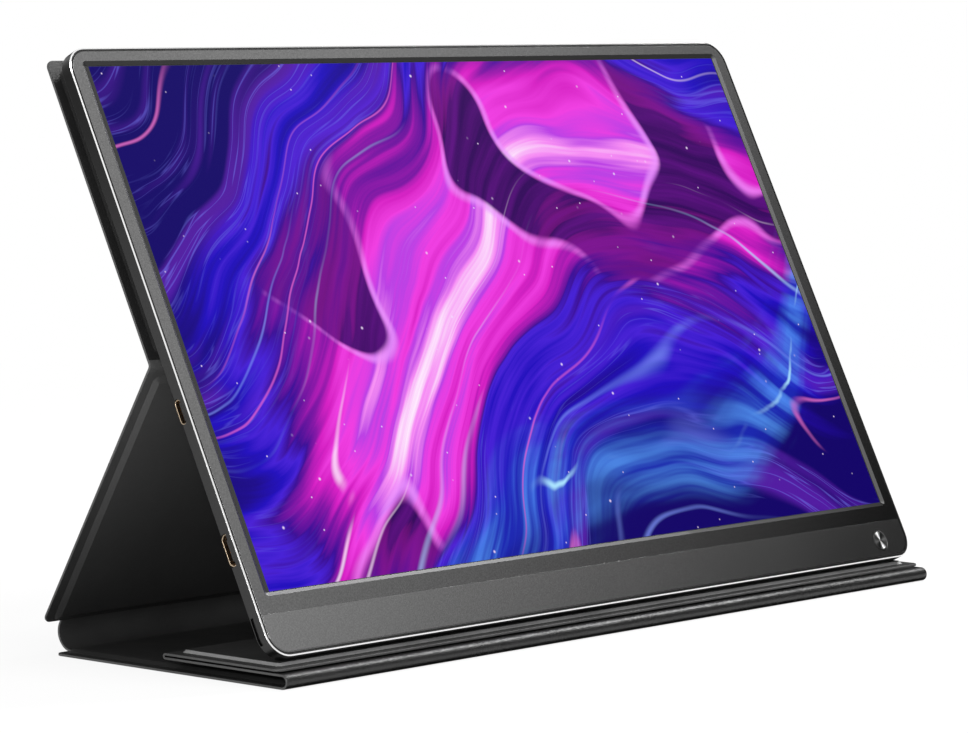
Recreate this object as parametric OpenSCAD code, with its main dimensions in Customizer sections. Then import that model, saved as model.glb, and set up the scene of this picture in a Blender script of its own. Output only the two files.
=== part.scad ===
// Portable monitor on a folding cover that makes its stand.
// The part stands on its base panel: X runs along the screen, Y to the back, Z up.
// Case pieces are drawn in the screen's own frame: x right, y up the screen, z out of it,
// with the centre of the picture at the origin.  Cover panels are drawn flat: y runs along
// the panel, z from its outer face to its padded inner face.

/* [Picture] */
// Width of the lit picture
display_w = 344.2; // [300:0.1:380]
// Height of the lit picture
display_h = 193.6; // [180:0.1:206]
// Dark edge of the glass beside and above the picture
glass_margin = 1.2; // [0.8:0.1:2]
// Dark edge of the glass below the picture, where the films are bonded
glass_margin_low = 4.5; // [3.5:0.1:5.5]
// Thickness of the display glass
glass_t = 1; // [0.8:0.05:1.2]
// Thickness of the stack of diffuser sheets
diffuser_t = 0.4; // [0.3:0.05:0.5]
// Thickness of the light guide
guide_t = 1.2; // [1:0.05:1.4]
// Thickness of the reflector sheet
reflector_t = 0.2; // [0.1:0.05:0.3]
// Thickness of the steel plate behind the backlight
back_plate_t = 0.3; // [0.2:0.05:0.4]
// Wall of the thin frame round the backlight
panel_frame_wall = 0.8; // [0.5:0.1:1]
// Width of the strip of lamps below the light guide
led_w = 2; // [1.5:0.1:2.4]

/* [Monitor case] */
// Bezel beside the picture
bezel_side = 7.9; // [7.5:0.1:12]
// Bezel above the picture
bezel_top = 6.7; // [6.5:0.1:10]
// Smooth strip below the picture
strip_h = 7.8; // [7:0.1:10]
// Height of the grained plate across the foot of the case
chin_h = 15.4; // [15:0.1:20]
// Thickness of the monitor
monitor_t = 8.5; // [8:0.1:10]
// Corner radius of the case
case_r = 9; // [7:0.5:12]
// Height of the straight side wall
wall_depth = 4.5; // [4.4:0.1:4.7]
// How far the back edge slopes in all round
back_inset = 5; // [3:0.5:6]
// Width of the polished bevel round the front edge
chamfer_w = 0.8; // [0.6:0.05:0.9]
// How far that bevel falls back
chamfer_t = 0.3; // [0.25:0.05:0.5]
// Step down between the bevel and the bezel
edge_step = 0.15; // [0.1:0.05:0.2]
// Thickness of the side frame's wall
frame_wall = 1.2; // [1.1:0.1:1.5]
// Thickness of the ledge inside the side frame
ledge_t = 0.9; // [0.7:0.1:0.9]
// Width of the ledge across the foot of the case
ledge_w = 4.6; // [4.4:0.1:5]
// Thickness of the back cover
cover_wall = 1.2; // [1:0.1:1.4]
// Thickness of the front bezel
bezel_t = 1.2; // [1.1:0.05:1.3]
// Depth of the seat for the glass in the back of the bezel
glass_seat = 0.5; // [0.4:0.05:0.6]
// Width of the sloping lip round the picture
lip_w = 1.7; // [1.2:0.1:2]
// Bezel left past the picture at the bottom of the lip
lip_reveal = 0.3; // [0.2:0.05:0.5]
// Corner radius of the bezel opening
lip_r = 2; // [1.8:0.1:3]
// Thickness of the chin plate
chin_t = 0.4; // [0.3:0.05:0.5]
// Thickness of the foam gasket between bezel and glass
gasket_t = 0.15; // [0.1:0.05:0.2]

/* [Ports and speakers] */
// Depth of the port centres behind the screen face
port_depth = 3.85; // [3.8:0.05:4]
// Distance of the USB-C port's centre below the picture's centre
usb_drop = 30; // [27:0.5:36]
// Width of the USB-C shell
usb_w = 8.94; // [8.8:0.02:9.1]
// Height of the USB-C shell
usb_h = 3.26; // [3.1:0.02:3.3]
// Distance of the mini HDMI port's centre below the picture's centre
hdmi_drop = 80.2; // [76:0.1:82]
// Width of the mini HDMI shell
hdmi_w = 11.4; // [11:0.1:12]
// Height of the mini HDMI shell
hdmi_h = 3; // [2.8:0.1:3.2]
// Sheet thickness of both port shells
port_wall = 0.35; // [0.25:0.05:0.45]
// Length of both port shells
port_len = 6.1; // [5.6:0.1:6.2]
// Length of each speaker slot in the side walls
slot_len = 9.8; // [8:0.1:10.5]
// Width of each speaker slot
slot_w = 1.4; // [1:0.1:1.6]
// Distance of a slot's centre above the foot of the case
slot_rise = 10.7; // [10.4:0.1:12]
// Length of a speaker box
speaker_len = 25; // [20:0.5:28]
// Width of a speaker box
speaker_w = 11.6; // [10:0.1:12]
// Thickness of the cloth behind each slot
mesh_t = 0.3; // [0.2:0.05:0.4]

/* [Power button] */
// Diameter of the round button
button_d = 8; // [7:0.1:9]
// Distance of the button's centre from the right edge
button_edge = 17.9; // [17.5:0.1:20]
// Travel of the button
button_travel = 0.5; // [0.3:0.05:0.6]
// Radial clearance of the button in its hole
button_clear = 0.08; // [0.05:0.01:0.1]
// How far the button stands out of the chin plate
button_proud = 0.15; // [0.1:0.05:0.3]
// Thickness of the button's retaining flange
button_flange_t = 0.4; // [0.3:0.05:0.5]
// Thickness of the flex that joins the button board to the main board
flex_t = 0.2; // [0.15:0.05:0.3]

/* [Boards] */
// Thickness of the main board
board_t = 1; // [0.8:0.1:1]
// Gap between the steel plate and the main board
board_gap = 1; // [0.9:0.05:1.1]
// Width of the main board
board_w = 81; // [76:0.5:90]
// Height of the main board
board_h = 85; // [80:0.5:88]
// Thickness of the small boards
small_board_t = 0.8; // [0.6:0.1:0.8]
// Length of the panel's driver board
driver_w = 124; // [110:1:150]
// Width of the panel's driver board
driver_h = 8; // [7:0.1:9]
// Side of the square display chip
chip_w = 14; // [10:0.5:18]
// Thickness of the display chip
chip_t = 0.75; // [0.6:0.05:0.8]
// Radius of the screw shafts
screw_r = 0.75; // [0.6:0.05:0.75]
// Radial clearance round a screw shaft
screw_clear = 0.05; // [0.03:0.01:0.1]
// Radius of the screw heads
head_r = 1.5; // [1.3:0.05:1.6]
// Height of the screw heads
head_h = 0.5; // [0.4:0.05:0.6]
// Radius of the screw bosses
boss_r = 1.7; // [1.5:0.05:1.8]

/* [Cover] */
// Thickness of one skin of the cover
skin_t = 0.45; // [0.35:0.05:0.6]
// Rise of a padded panel above its thin border
pad_rise = 1.1; // [0.9:0.1:1.3]
// Width of the sloping edge of a pad
pad_bevel = 1.3; // [1:0.1:1.8]
// Corner radius of a pad
pad_r = 2.5; // [2.2:0.1:4]
// Thin border left of and right of each pad
side_border = 4; // [3:0.1:6]
// Thin border at a fold
fold_border = 2; // [1.5:0.1:4]
// Thin border at a free edge
free_border = 4; // [3:0.1:6]
// Thin border where a panel meets the spine
spine_border = 0.6; // [0.3:0.1:2]
// Corner radius of the cover
cover_r = 3; // [1:0.5:4]
// Length of the panel that holds the monitor
upper_len = 113; // [108:0.5:118]
// How far the leg panel stops short of the monitor's foot when laid flat
spine_tuck = 3.6; // [2.5:0.1:5]
// Length of the riser panel
riser_len = 55; // [52:0.5:58]
// Distance of the top flap's free edge behind the front fold
flap_setback = 1.3; // [0.8:0.1:3]
// Spare length of the front cover for closing over the screen
closing_slack = 4.8; // [3.5:0.1:6]
// Outer radius of the spine
spine_r = 6.85; // [6.5:0.05:7.2]
// Distance of the spine's ends from the sides of the cover
spine_inset = 8.5; // [7:0.5:10]
// Outer radius of the fold at the front
front_r = 2.6; // [2.45:0.05:3]
// Gap between riser and top flap
flap_gap = 0.5; // [0.4:0.05:0.8]
// Inner radius of the fold behind the monitor
mid_r = 1.5; // [1:0.1:2.5]
// Straight tab of each fold strip
fold_tab = 1; // [0.6:0.1:1.2]
// Diameter of the magnets
magnet_d = 10; // [8:0.5:12]
// Spacing of the magnets along the cover
magnet_pitch = 80; // [60:1:90]
// Distance of the magnets from the panel's free edge
magnet_edge = 22; // [16:1:30]

/* [Stance] */
// How far the screen leans back from upright
lean = 26.5; // [24:0.5:30]
// Clearance between monitor and the pad behind it
back_gap = 0.2; // [0.1:0.05:0.4]
// Clearance between the monitor's foot and the pad below it
foot_gap = 0.25; // [0.15:0.05:0.4]

/* [Hidden] */
$fn = 48;
eps = 0.01;          // overshoot of a cut past a face
fit = 0.1;           // clearance round parts that are set into others
strip_gap = 0.05;    // gap between a fold strip and the panels it joins

// Case outline in the screen's frame
monitor_w = display_w + 2 * bezel_side;
case_top = display_h / 2 + bezel_top;
case_foot = display_h / 2 + strip_h + chin_h;
monitor_h = case_top + case_foot;
case_cy = (case_top - case_foot) / 2;
inner_x = monitor_w / 2 - frame_wall;            // inside face of the side frame

// Levels behind the screen face, from front to back
lip_t = bezel_t - glass_seat;                    // thickness of the bezel round the picture
glass_z = -lip_t - gasket_t;
diffuser_z = glass_z - glass_t;
guide_z = diffuser_z - diffuser_t;
reflector_z = guide_z - guide_t;
back_plate_z = reflector_z - reflector_t;
panel_back_z = back_plate_z - back_plate_t;
board_z = panel_back_z - board_gap;
floor_z = -monitor_t + cover_wall;               // inside face of the back cover
ledge_z = -bezel_t - ledge_t;                    // back of the frame's ledge
floor_edge = back_inset + frame_wall / 2;        // flat inside floor, in from the case's edge

// Glass and backlight outline
glass_x = display_w / 2 + glass_margin;
glass_top = display_h / 2 + glass_margin;
glass_foot = display_h / 2 + glass_margin_low;
guide_foot = panel_frame_wall + fit + led_w + fit - glass_foot;

// Ports
port_face_x = -monitor_w / 2 + 0.5;              // mouth of both ports
port_back_x = port_face_x + port_len;

// Chin and button
chin_top = -case_foot + chin_h;
button_x = monitor_w / 2 - button_edge;
button_y = -case_foot + chin_h / 2;
button_hole_r = button_d / 2 + button_clear;
button_flange_r = button_d / 2 + 0.8;
button_flange_z = -bezel_t - 0.1;                // front of the retaining flange
button_back_z = button_flange_z - button_flange_t;
switch_z = button_back_z - button_travel - 0.05; // front of the push switch
button_board_z = board_z + flex_t + small_board_t;
switch_h = switch_z - button_board_z;
button_board_w = 17;
button_post_x = 6.5;                             // bezel posts each side of the button
button_post_r = 1;

// Main board, its lower tongue and what it carries
board_x = port_back_x;
board_rise = 20;                                 // main board's foot above the case's
tongue_rise = 7;                                 // its tongue's foot above the case's
board_foot = board_rise - case_foot;
board_top = board_foot + board_h;
tongue_w = board_w - 33;
tongue_x0 = board_x + board_w - tongue_w;
tongue_x1 = board_x + board_w;
tongue_foot = tongue_rise - case_foot;
board_back_z = board_z - board_t;
board_screw_inset = 5;
chip_at = [board_x + 0.55 * board_w, board_top - 0.5 * board_h];
board_screw_at = [for (x = [board_x + board_screw_inset, tongue_x1 - board_screw_inset],
                       y = [board_top - board_screw_inset, board_foot + board_screw_inset]) [x, y]];

// Driver board in the chin
driver_y1 = -glass_foot - 2;
driver_y0 = driver_y1 - driver_h;
driver_z = back_plate_z + small_board_t;         // front of the driver board
film_t = 0.2;
film_w = 22;
film_seat = 3;                                   // length of a film on the driver board
cable_t = 0.3;
cable_w = 4;
cable_y0 = driver_y0 + cable_t;
cable_seat = 10;                                 // length of the cable on each board
cable_turn = 5;                                  // its bend beyond the driver board's end

// Screws that hold the side frame to the back cover
frame_screw_x = inner_x - boss_r - 0.6;
frame_screw_top = case_top - frame_wall - boss_r - 0.3;
frame_screw_foot = -case_foot + frame_wall + boss_r + 0.7;
frame_screw_reach = 4;
boss_lap = 0.2;                                  // overlap of a boss's two parts
frame_screw_along = 0.3 * monitor_w;
frame_screw_y = [0.72 * case_top, 0.1 * case_top, -(usb_drop + hdmi_drop) / 2];
frame_screw_at = [for (s = [-1, 1]) each [for (y = frame_screw_y) [s * frame_screw_x, y],
    [s * frame_screw_along, frame_screw_top], [s * frame_screw_along, frame_screw_foot]]];

// Speakers
slot_y = -case_foot + slot_rise;
slot_z = slot_w / 2 + 0.25 - wall_depth;
corner_cut = (1 - sqrt(0.5)) * (case_r - floor_edge) + fit;
speaker_x = monitor_w / 2 - floor_edge - corner_cut;  // outer end of a speaker box
speaker_y = floor_edge + corner_cut - case_foot;      // its lower side
speaker_z = board_z - 0.1;
duct_x = button_x + button_board_w / 2 + 0.3;
duct_w = slot_len + 0.6;
wire_r = 0.4;
wire_z = board_back_z + wire_r;
wire_y = [for (down = [1.2, 2.4]) speaker_y + speaker_w - down];

// Flex from the button board to the main board lies on both
flex_w = 4;
flex_seat = 9;                                   // its length on the main board's tongue
flex_y0 = button_y + button_flange_r + 0.8;
flex_y1 = flex_y0 + flex_w;

// Cover sheet
sheet_t = 2 * skin_t;
panel_t = sheet_t + pad_rise;
cover_w = monitor_w;
spine_w = cover_w - 2 * spine_inset;
leg_len = monitor_h - upper_len - spine_tuck;
flap_len = riser_len - flap_setback;
rear_r_in = flap_gap / 2;
rear_r = rear_r_in + sheet_t;
front_take = PI * (front_r - skin_t);
rear_take = PI * (rear_r_in + skin_t);
base_len = monitor_h + closing_slack - riser_len - flap_len - front_take - rear_take;
magnet_fit = 0.05;
magnet_t = pad_rise;
magnet_x = [-1.5, -0.5, 0.5, 1.5] * magnet_pitch;
magnet_inset = 12;                               // flap magnets from its free edge
catch_t = 0.5;                                   // plates the magnets hold in the monitor

// Ends of each panel along its own y, and of its pad
upper_y = [fold_tab, upper_len];
upper_pad = [fold_tab + fold_border, upper_len - free_border];
leg_y = [fold_tab, leg_len - fold_tab];
leg_pad = [fold_tab + spine_border, leg_len - fold_tab - fold_border];
base_y = [fold_tab, base_len - fold_tab];
base_pad = [fold_tab + fold_border, base_len - fold_tab - spine_border];
riser_y = [fold_tab, riser_len - fold_tab];
riser_pad = [fold_tab + fold_border, riser_len - fold_tab - fold_border];
flap_y = [fold_tab, flap_len];
flap_pad = [fold_tab + fold_border, flap_len - free_border];
upper_magnet_y = upper_len - magnet_edge;
flap_magnet_y = flap_len - magnet_inset;

// Stance: the leg's angle follows from the lengths, so that the monitor's foot
// comes down on the top flap
flap_z = 2 * front_r + flap_gap;
foot_z = flap_z + panel_t + foot_gap;
foot_y_up = upper_len - monitor_h;
foot_z_up = panel_t + back_gap + monitor_t - wall_depth + mid_r;
reach_z = foot_z - spine_r - foot_y_up * cos(lean) - foot_z_up * sin(lean);
leg_off = mid_r + spine_r;
leg_angle = asin(reach_z / norm([leg_len, leg_off])) - atan2(leg_off, leg_len);
fold_angle = 90 - leg_angle + lean;
spine_y = (base_len + front_r - spine_r) / 2;
front_y = spine_y - base_len;
rear_fold_y = front_y + riser_len;

// ---------- frames ----------

module in_leg() {
    translate([0, spine_y, spine_r]) rotate([180 - leg_angle, 0, 0]) translate([0, 0, -spine_r])
        children();
}

module in_upper() {
    in_leg() translate([0, leg_len, -mid_r]) rotate([-fold_angle, 0, 0]) translate([0, 0, mid_r])
        children();
}

module in_screen() {
    in_upper() translate([0, upper_len - case_top, panel_t + back_gap + monitor_t]) children();
}

module in_base() {
    translate([0, front_y, 0]) children();
}

module in_riser() {
    translate([0, front_y, 2 * front_r]) rotate([0, 180, 0]) children();
}

module in_flap() {
    translate([0, rear_fold_y, flap_z]) rotate([0, 0, 180]) children();
}

// ---------- shapes ----------

// Plate with round corners, centred, from z = 0 up
module round_plate(w, h, r, t) {
    linear_extrude(t) {
        square([w - 2 * r, h], center = true);
        square([w, h - 2 * r], center = true);
        for (sx = [-1, 1], sy = [-1, 1])
            translate([sx * (w / 2 - r), sy * (h / 2 - r)]) circle(r);
    }
}

// The same plate with its edges sloping in by inset towards z = t
module sloped_plate(w, h, r, inset, t) {
    cx = w / 2 - r;
    cy = h / 2 - r;
    for (sx = [-1, 1], sy = [-1, 1])
        translate([sx * cx, sy * cy, 0]) cylinder(h = t, r1 = r, r2 = r - inset);
    rotate([90, 0, 90]) translate([0, 0, -cx]) linear_extrude(2 * cx)
        polygon([[-h / 2, 0], [h / 2, 0], [h / 2 - inset, t], [inset - h / 2, t]]);
    rotate([90, 0, 0]) translate([0, 0, -cy]) linear_extrude(2 * cy)
        polygon([[-w / 2, 0], [w / 2, 0], [w / 2 - inset, t], [inset - w / 2, t]]);
}

// Both ends of a length w about the middle c
function span(c, w) = [c - w / 2, c + w / 2];

// Box given by its two ends on each axis
module box(x, y, z) {
    translate([x[0], y[0], z[0]]) cube([x[1] - x[0], y[1] - y[0], z[1] - z[0]]);
}

// Extrude a (y, z) outline along X, centred
module along_x(w) {
    rotate([90, 0, 90]) translate([0, 0, -w / 2]) linear_extrude(w) children();
}

// Outline of the case set in by inset
module case_plate(inset, t) {
    translate([0, case_cy, 0])
        round_plate(monitor_w - 2 * inset, monitor_h - 2 * inset, case_r - inset, t);
}

// ---------- monitor case ----------

// Cuts for the ports and the speaker slots in the side walls
module wall_cuts() {
    translate([port_face_x - 1, -usb_drop, -port_depth]) port_block(usb_w, usb_h, fit, port_len + 1);
    translate([port_face_x - 1, -hdmi_drop, -port_depth])
        hdmi_block(hdmi_w, hdmi_h, fit, port_len + 1);
    for (s = [-1, 1]) translate([s * monitor_w / 2, slot_y, slot_z])
        cube([2 * case_r, slot_len, slot_w], center = true);
}

module side_frame() {
    color([0.2, 0.2, 0.21]) in_screen() difference() {
        union() {
            translate([0, case_cy, -chamfer_t])
                sloped_plate(monitor_w, monitor_h, case_r, chamfer_w, chamfer_t);
            translate([0, 0, -wall_depth]) case_plate(0, wall_depth - chamfer_t);
        }
        translate([0, 0, -edge_step]) case_plate(chamfer_w + 0.1, edge_step + eps);
        translate([0, 0, -bezel_t]) case_plate(frame_wall, bezel_t + eps);
        translate([0, 0, -wall_depth - eps]) case_plate(frame_wall, wall_depth + ledge_z + eps);
        ledge_opening();
        translate([button_x, button_y, ledge_z - eps])
            cylinder(h = ledge_t + 2 * eps, r = button_flange_r + 0.3);
        for (p = frame_screw_at) translate([p.x, p.y, -wall_depth])
            cylinder(h = wall_depth, r = screw_r + 2 * screw_clear);
        wall_cuts();
    }
}

// The window that the ledge leaves for the display
module ledge_opening() {
    box([-glass_x - 0.3, glass_x + 0.3], [ledge_w - case_foot + frame_wall, glass_top + 0.3],
        [ledge_z - eps, eps - bezel_t]);
}

// Outside of the back cover, from the side wall's rear edge back
module cover_body() {
    translate([0, case_cy, -wall_depth]) mirror([0, 0, 1])
        sloped_plate(monitor_w, monitor_h, case_r, back_inset, monitor_t - wall_depth);
}

module rear_cover() {
    hollow_t = monitor_t - wall_depth - cover_wall;
    boss_z = floor_z - cover_wall / 2;
    color([0.13, 0.13, 0.14]) in_screen() difference() {
        union() {
            difference() {
                cover_body();
                translate([0, case_cy, eps - wall_depth]) mirror([0, 0, 1])
                    sloped_plate(monitor_w - 2 * frame_wall, monitor_h - 2 * frame_wall,
                        case_r - frame_wall, floor_edge - frame_wall, hollow_t + eps);
            }
            intersection() {
                cover_body();
                for (p = frame_screw_at) translate([p.x, p.y, boss_z])
                    cylinder(h = -wall_depth - boss_z, r = boss_r);
            }
            for (p = frame_screw_at) translate([p.x, p.y, -wall_depth - boss_lap])
                cylinder(h = ledge_z + wall_depth + boss_lap, r = boss_r);
            for (p = board_screw_at) translate([p.x, p.y, boss_z])
                cylinder(h = board_back_z - boss_z, r = boss_r);
        }
        for (p = frame_screw_at) translate([p.x, p.y, ledge_z - frame_screw_reach])
            cylinder(h = frame_screw_reach + eps, r = screw_r + screw_clear);
        for (p = board_screw_at) translate([p.x, p.y, floor_z])
            cylinder(h = board_back_z - floor_z + eps, r = screw_r + screw_clear);
        wall_cuts();
    }
}

module front_bezel() {
    inset = frame_wall + fit;
    color([0.42, 0.42, 0.43]) in_screen() difference() {
        union() {
            translate([0, 0, -bezel_t]) case_plate(inset, bezel_t);
            for (s = [-1, 1]) translate([button_x + s * button_post_x, button_y, 0]) {
                translate([0, 0, button_board_z])
                    cylinder(h = -bezel_t - button_board_z, r = 1.6 * button_post_r);
                translate([0, 0, button_board_z - small_board_t])
                    cylinder(h = small_board_t, r = button_post_r);
            }
        }
        translate([0, 0, eps]) mirror([0, 0, 1])
            sloped_plate(display_w + 2 * lip_w, display_h + 2 * lip_w, lip_r,
                lip_w - lip_reveal, lip_t + 2 * eps);
        box([-1, 1] * (glass_x + fit), [-glass_foot - fit, glass_top + fit],
            [-bezel_t - eps, -lip_t]);
        chin_block(0, 1);
        translate([button_x, button_y, -bezel_t - eps])
            cylinder(h = bezel_t + 1, r = button_hole_r);
        for (p = frame_screw_at) translate([p.x, p.y, -bezel_t - eps])
            cylinder(h = head_h + fit, r = head_r + fit);
    }
}

// Chin plate and its pocket: the foot of the case below the seam
module chin_block(gap, extra) {
    inset = frame_wall + fit + 0.4 + gap;
    intersection() {
        translate([0, 0, -chin_t]) case_plate(inset, chin_t + extra);
        box([-monitor_w, monitor_w], [-case_foot, chin_top - gap], [-chin_t, extra]);
    }
}

module chin_plate() {
    color([0.36, 0.36, 0.37]) in_screen() difference() {
        chin_block(0.05, 0);
        translate([button_x, button_y, -chin_t - eps]) cylinder(h = chin_t + 1, r = button_hole_r);
    }
}

module screen_gasket() {
    color([0.05, 0.05, 0.05]) in_screen() difference() {
        box([-glass_x, glass_x], [-glass_foot, glass_top], [glass_z, -lip_t]);
        box([-1, 1] * (display_w / 2 + lip_reveal), [-1, 1] * (display_h / 2 + lip_reveal),
            [glass_z - eps, eps - lip_t]);
    }
}

// ---------- display panel ----------

module display_glass() {
    color([0.12, 0.06, 0.4]) in_screen()
        box([-glass_x, glass_x], [-glass_foot, glass_top], [diffuser_z, glass_z]);
}

// One layer of the backlight inside the panel frame
module backlight_layer(foot, z0, z1) {
    side = panel_frame_wall + fit;
    box([side - glass_x, glass_x - side], [foot, glass_top - side], [z0, z1]);
}

module diffuser_sheets() {
    color([0.93, 0.93, 0.95]) in_screen()
        backlight_layer(panel_frame_wall + fit - glass_foot, guide_z, diffuser_z);
}

module light_guide() {
    color([0.8, 0.88, 0.92]) in_screen() backlight_layer(guide_foot, reflector_z, guide_z);
}

module reflector_sheet() {
    color([0.95, 0.95, 0.95]) in_screen()
        backlight_layer(panel_frame_wall + fit - glass_foot, back_plate_z, reflector_z);
}

module led_strip() {
    side = panel_frame_wall + fit;
    color([0.95, 0.9, 0.6]) in_screen()
        box([side - glass_x, glass_x - side], [side - glass_foot, guide_foot - fit],
            [reflector_z, guide_z]);
}

module panel_frame() {
    color([0.1, 0.1, 0.1]) in_screen() difference() {
        box([-glass_x, glass_x], [-glass_foot, glass_top], [back_plate_z, diffuser_z]);
        box([-1, 1] * (glass_x - panel_frame_wall),
            [panel_frame_wall - glass_foot, glass_top - panel_frame_wall],
            [back_plate_z - eps, diffuser_z + eps]);
    }
}

module panel_back_plate() {
    color([0.65, 0.66, 0.68]) in_screen() {
        box([-glass_x, glass_x], [-glass_foot, glass_top], [panel_back_z, back_plate_z]);
        box([-1, 1] * (driver_w / 2 + 2), [driver_y0 - 0.5, -glass_foot],
            [panel_back_z, back_plate_z]);
    }
}

module driver_board() {
    color([0.05, 0.3, 0.18]) in_screen()
        box([-1, 1] * driver_w / 2, [driver_y0, driver_y1], [back_plate_z, driver_z]);
}

// Films that carry the glass's rows of contacts down to the driver board
module driver_films() {
    film_top = diffuser_z + 2 * film_t;
    color([0.7, 0.45, 0.15]) in_screen() for (i = [-1, 0, 1])
        translate([i * driver_w / 3, 0, 0]) along_x(film_w)
            polygon([[-glass_foot, film_top], [-glass_foot, film_top - film_t],
                [driver_y1, driver_z], [driver_y1 - film_seat, driver_z],
                [driver_y1 - film_seat, driver_z + film_t], [driver_y1, driver_z + film_t]]);
}

// Flat cable from the driver board to the main board
module display_cable() {
    x0 = cable_seat - driver_w / 2;
    x1 = -cable_turn - driver_w / 2;
    x2 = tongue_x1;
    x3 = tongue_x1 - cable_seat;
    color([0.92, 0.92, 0.9]) in_screen() translate([0, cable_y0 + cable_w, 0]) rotate([90, 0, 0])
        linear_extrude(cable_w)
            polygon([[x0, driver_z], [x0, driver_z + cable_t], [x1, driver_z + cable_t],
                [x2, board_z + cable_t], [x3, board_z + cable_t], [x3, board_z],
                [x2, board_z], [x1, driver_z]]);
}

// ---------- boards, ports and speakers ----------

module main_board() {
    color([0.04, 0.32, 0.16]) in_screen() difference() {
        union() {
            box([board_x, tongue_x1], [board_foot, board_top], [board_back_z, board_z]);
            box([tongue_x0, tongue_x1], [tongue_foot, board_foot], [board_back_z, board_z]);
        }
        for (p = board_screw_at) translate([p.x, p.y, board_back_z - eps])
            cylinder(h = board_t + 2 * eps, r = screw_r + 2 * screw_clear);
    }
}

module display_chip() {
    color([0.09, 0.09, 0.1]) in_screen() translate([chip_at.x, chip_at.y, board_z + chip_t / 2])
        cube([chip_w, chip_w, chip_t], center = true);
}

module thermal_pad() {
    pad_t = panel_back_z - board_z - chip_t;
    color([0.55, 0.6, 0.68]) in_screen()
        translate([chip_at.x, chip_at.y, board_z + chip_t + pad_t / 2])
            cube([chip_w - 1, chip_w - 1, pad_t], center = true);
}

// Coils, capacitors and sockets on the main board: x and y on the board, then size
module board_parts() {
    parts = [[14, 15, 7, 7], [14, 27, 6, 6], [26, 12, 4, 8], [34, 70, 10, 4], [60, 20, 8, 5],
        [66, 62, 6, 10], [14, 60, 8, 6], [28, 40, 5, 5]];
    part_h = board_gap - 0.3;
    color([0.25, 0.25, 0.27]) in_screen() for (p = parts)
        translate([board_x + p[0], board_top - p[1], board_z + part_h / 2])
            cube([p[2], p[3], part_h], center = true);
}

// Solid block of a port with round ends, along +x from its mouth
module port_block(w, h, gap, l) {
    r = h / 2 + gap;
    rotate([90, 0, 90]) linear_extrude(l) {
        square([w - h, 2 * r], center = true);
        for (s = [-1, 1]) translate([s * (w - h) / 2, 0]) circle(r);
    }
}

// Solid block of a port with two cut corners, along +x from its mouth
module hdmi_block(w, h, gap, l) {
    a = w / 2 + gap;
    b = h / 2 + gap;
    cut = 1.2;
    rotate([90, 0, 90]) linear_extrude(l)
        polygon([[-a, b], [a, b], [a, cut - b], [a - cut, -b], [cut - a, -b], [-a, cut - b]]);
}

module usb_c_port() {
    color([0.75, 0.76, 0.78]) in_screen() translate([port_face_x, -usb_drop, -port_depth]) {
        difference() {
            port_block(usb_w, usb_h, 0, port_len);
            translate([-eps, 0, 0]) port_block(usb_w, usb_h, -port_wall, port_len - 1);
        }
        translate([0.8, -usb_w / 2 + 1.1, -0.35]) cube([port_len - 1.5, usb_w - 2.2, 0.7]);
    }
}

module mini_hdmi_port() {
    color([0.72, 0.66, 0.45]) in_screen() translate([port_face_x, -hdmi_drop, -port_depth]) {
        difference() {
            hdmi_block(hdmi_w, hdmi_h, 0, port_len);
            translate([-eps, 0, 0]) hdmi_block(hdmi_w, hdmi_h, -port_wall, port_len - 1);
        }
        translate([0.8, -hdmi_w / 2 + 1.9, -0.3]) cube([port_len - 1.5, hdmi_w - 3.8, 0.6]);
    }
}

// Speaker box with its sound duct to the slot, side = -1 left or 1 right
module speaker(side) {
    duct_top = slot_z + slot_w / 2 + 0.1;
    color([0.08, 0.08, 0.09]) in_screen() mirror([side < 0 ? 1 : 0, 0, 0]) {
        box([speaker_x - speaker_len, speaker_x], [speaker_y, speaker_y + speaker_w],
            [floor_z, speaker_z]);
        box([duct_x, speaker_x], span(slot_y, duct_w), [floor_z + 1, duct_top]);
        intersection() {
            translate([0, 0, -wall_depth]) case_plate(frame_wall + mesh_t, wall_depth);
            box([duct_x, inner_x], span(slot_y, duct_w), [-wall_depth, duct_top]);
        }
    }
}

module speaker_left() { speaker(-1); }
module speaker_right() { speaker(1); }

module speaker_mesh(side) {
    color([0.03, 0.03, 0.03]) in_screen() mirror([side < 0 ? 1 : 0, 0, 0]) intersection() {
        translate([0, 0, slot_z - slot_w / 2 - 0.1]) difference() {
            case_plate(frame_wall, slot_w + 0.2);
            translate([0, 0, -eps]) case_plate(frame_wall + mesh_t, slot_w + 1);
        }
        box([inner_x - case_r, inner_x], span(slot_y, duct_w), [-wall_depth, 0]);
    }
}

module speaker_mesh_left() { speaker_mesh(-1); }
module speaker_mesh_right() { speaker_mesh(1); }

// A pair of wires from the main board's tongue to each speaker
module speaker_wires() {
    inner = speaker_x - speaker_len;
    color([0.7, 0.1, 0.1]) in_screen() for (y = wire_y) {
        translate([tongue_x1, y, wire_z]) rotate([0, 90, 0])
            cylinder(h = inner - tongue_x1, r = wire_r);
        translate([-inner, y, wire_z]) rotate([0, 90, 0])
            cylinder(h = tongue_x0 + inner, r = wire_r);
    }
}

module power_button() {
    color([0.8, 0.8, 0.82]) in_screen() translate([button_x, button_y, 0]) {
        translate([0, 0, button_back_z])
            cylinder(h = button_proud - button_back_z, r = button_d / 2);
        translate([0, 0, button_back_z]) cylinder(h = button_flange_t, r = button_flange_r);
    }
}

module button_switch() {
    color([0.2, 0.2, 0.22]) in_screen() translate([button_x, button_y, button_board_z]) {
        translate([-2.6, -2.6, 0]) cube([5.2, 5.2, 0.7 * switch_h]);
        cylinder(h = switch_h, r = 1.2);
    }
}

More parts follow.
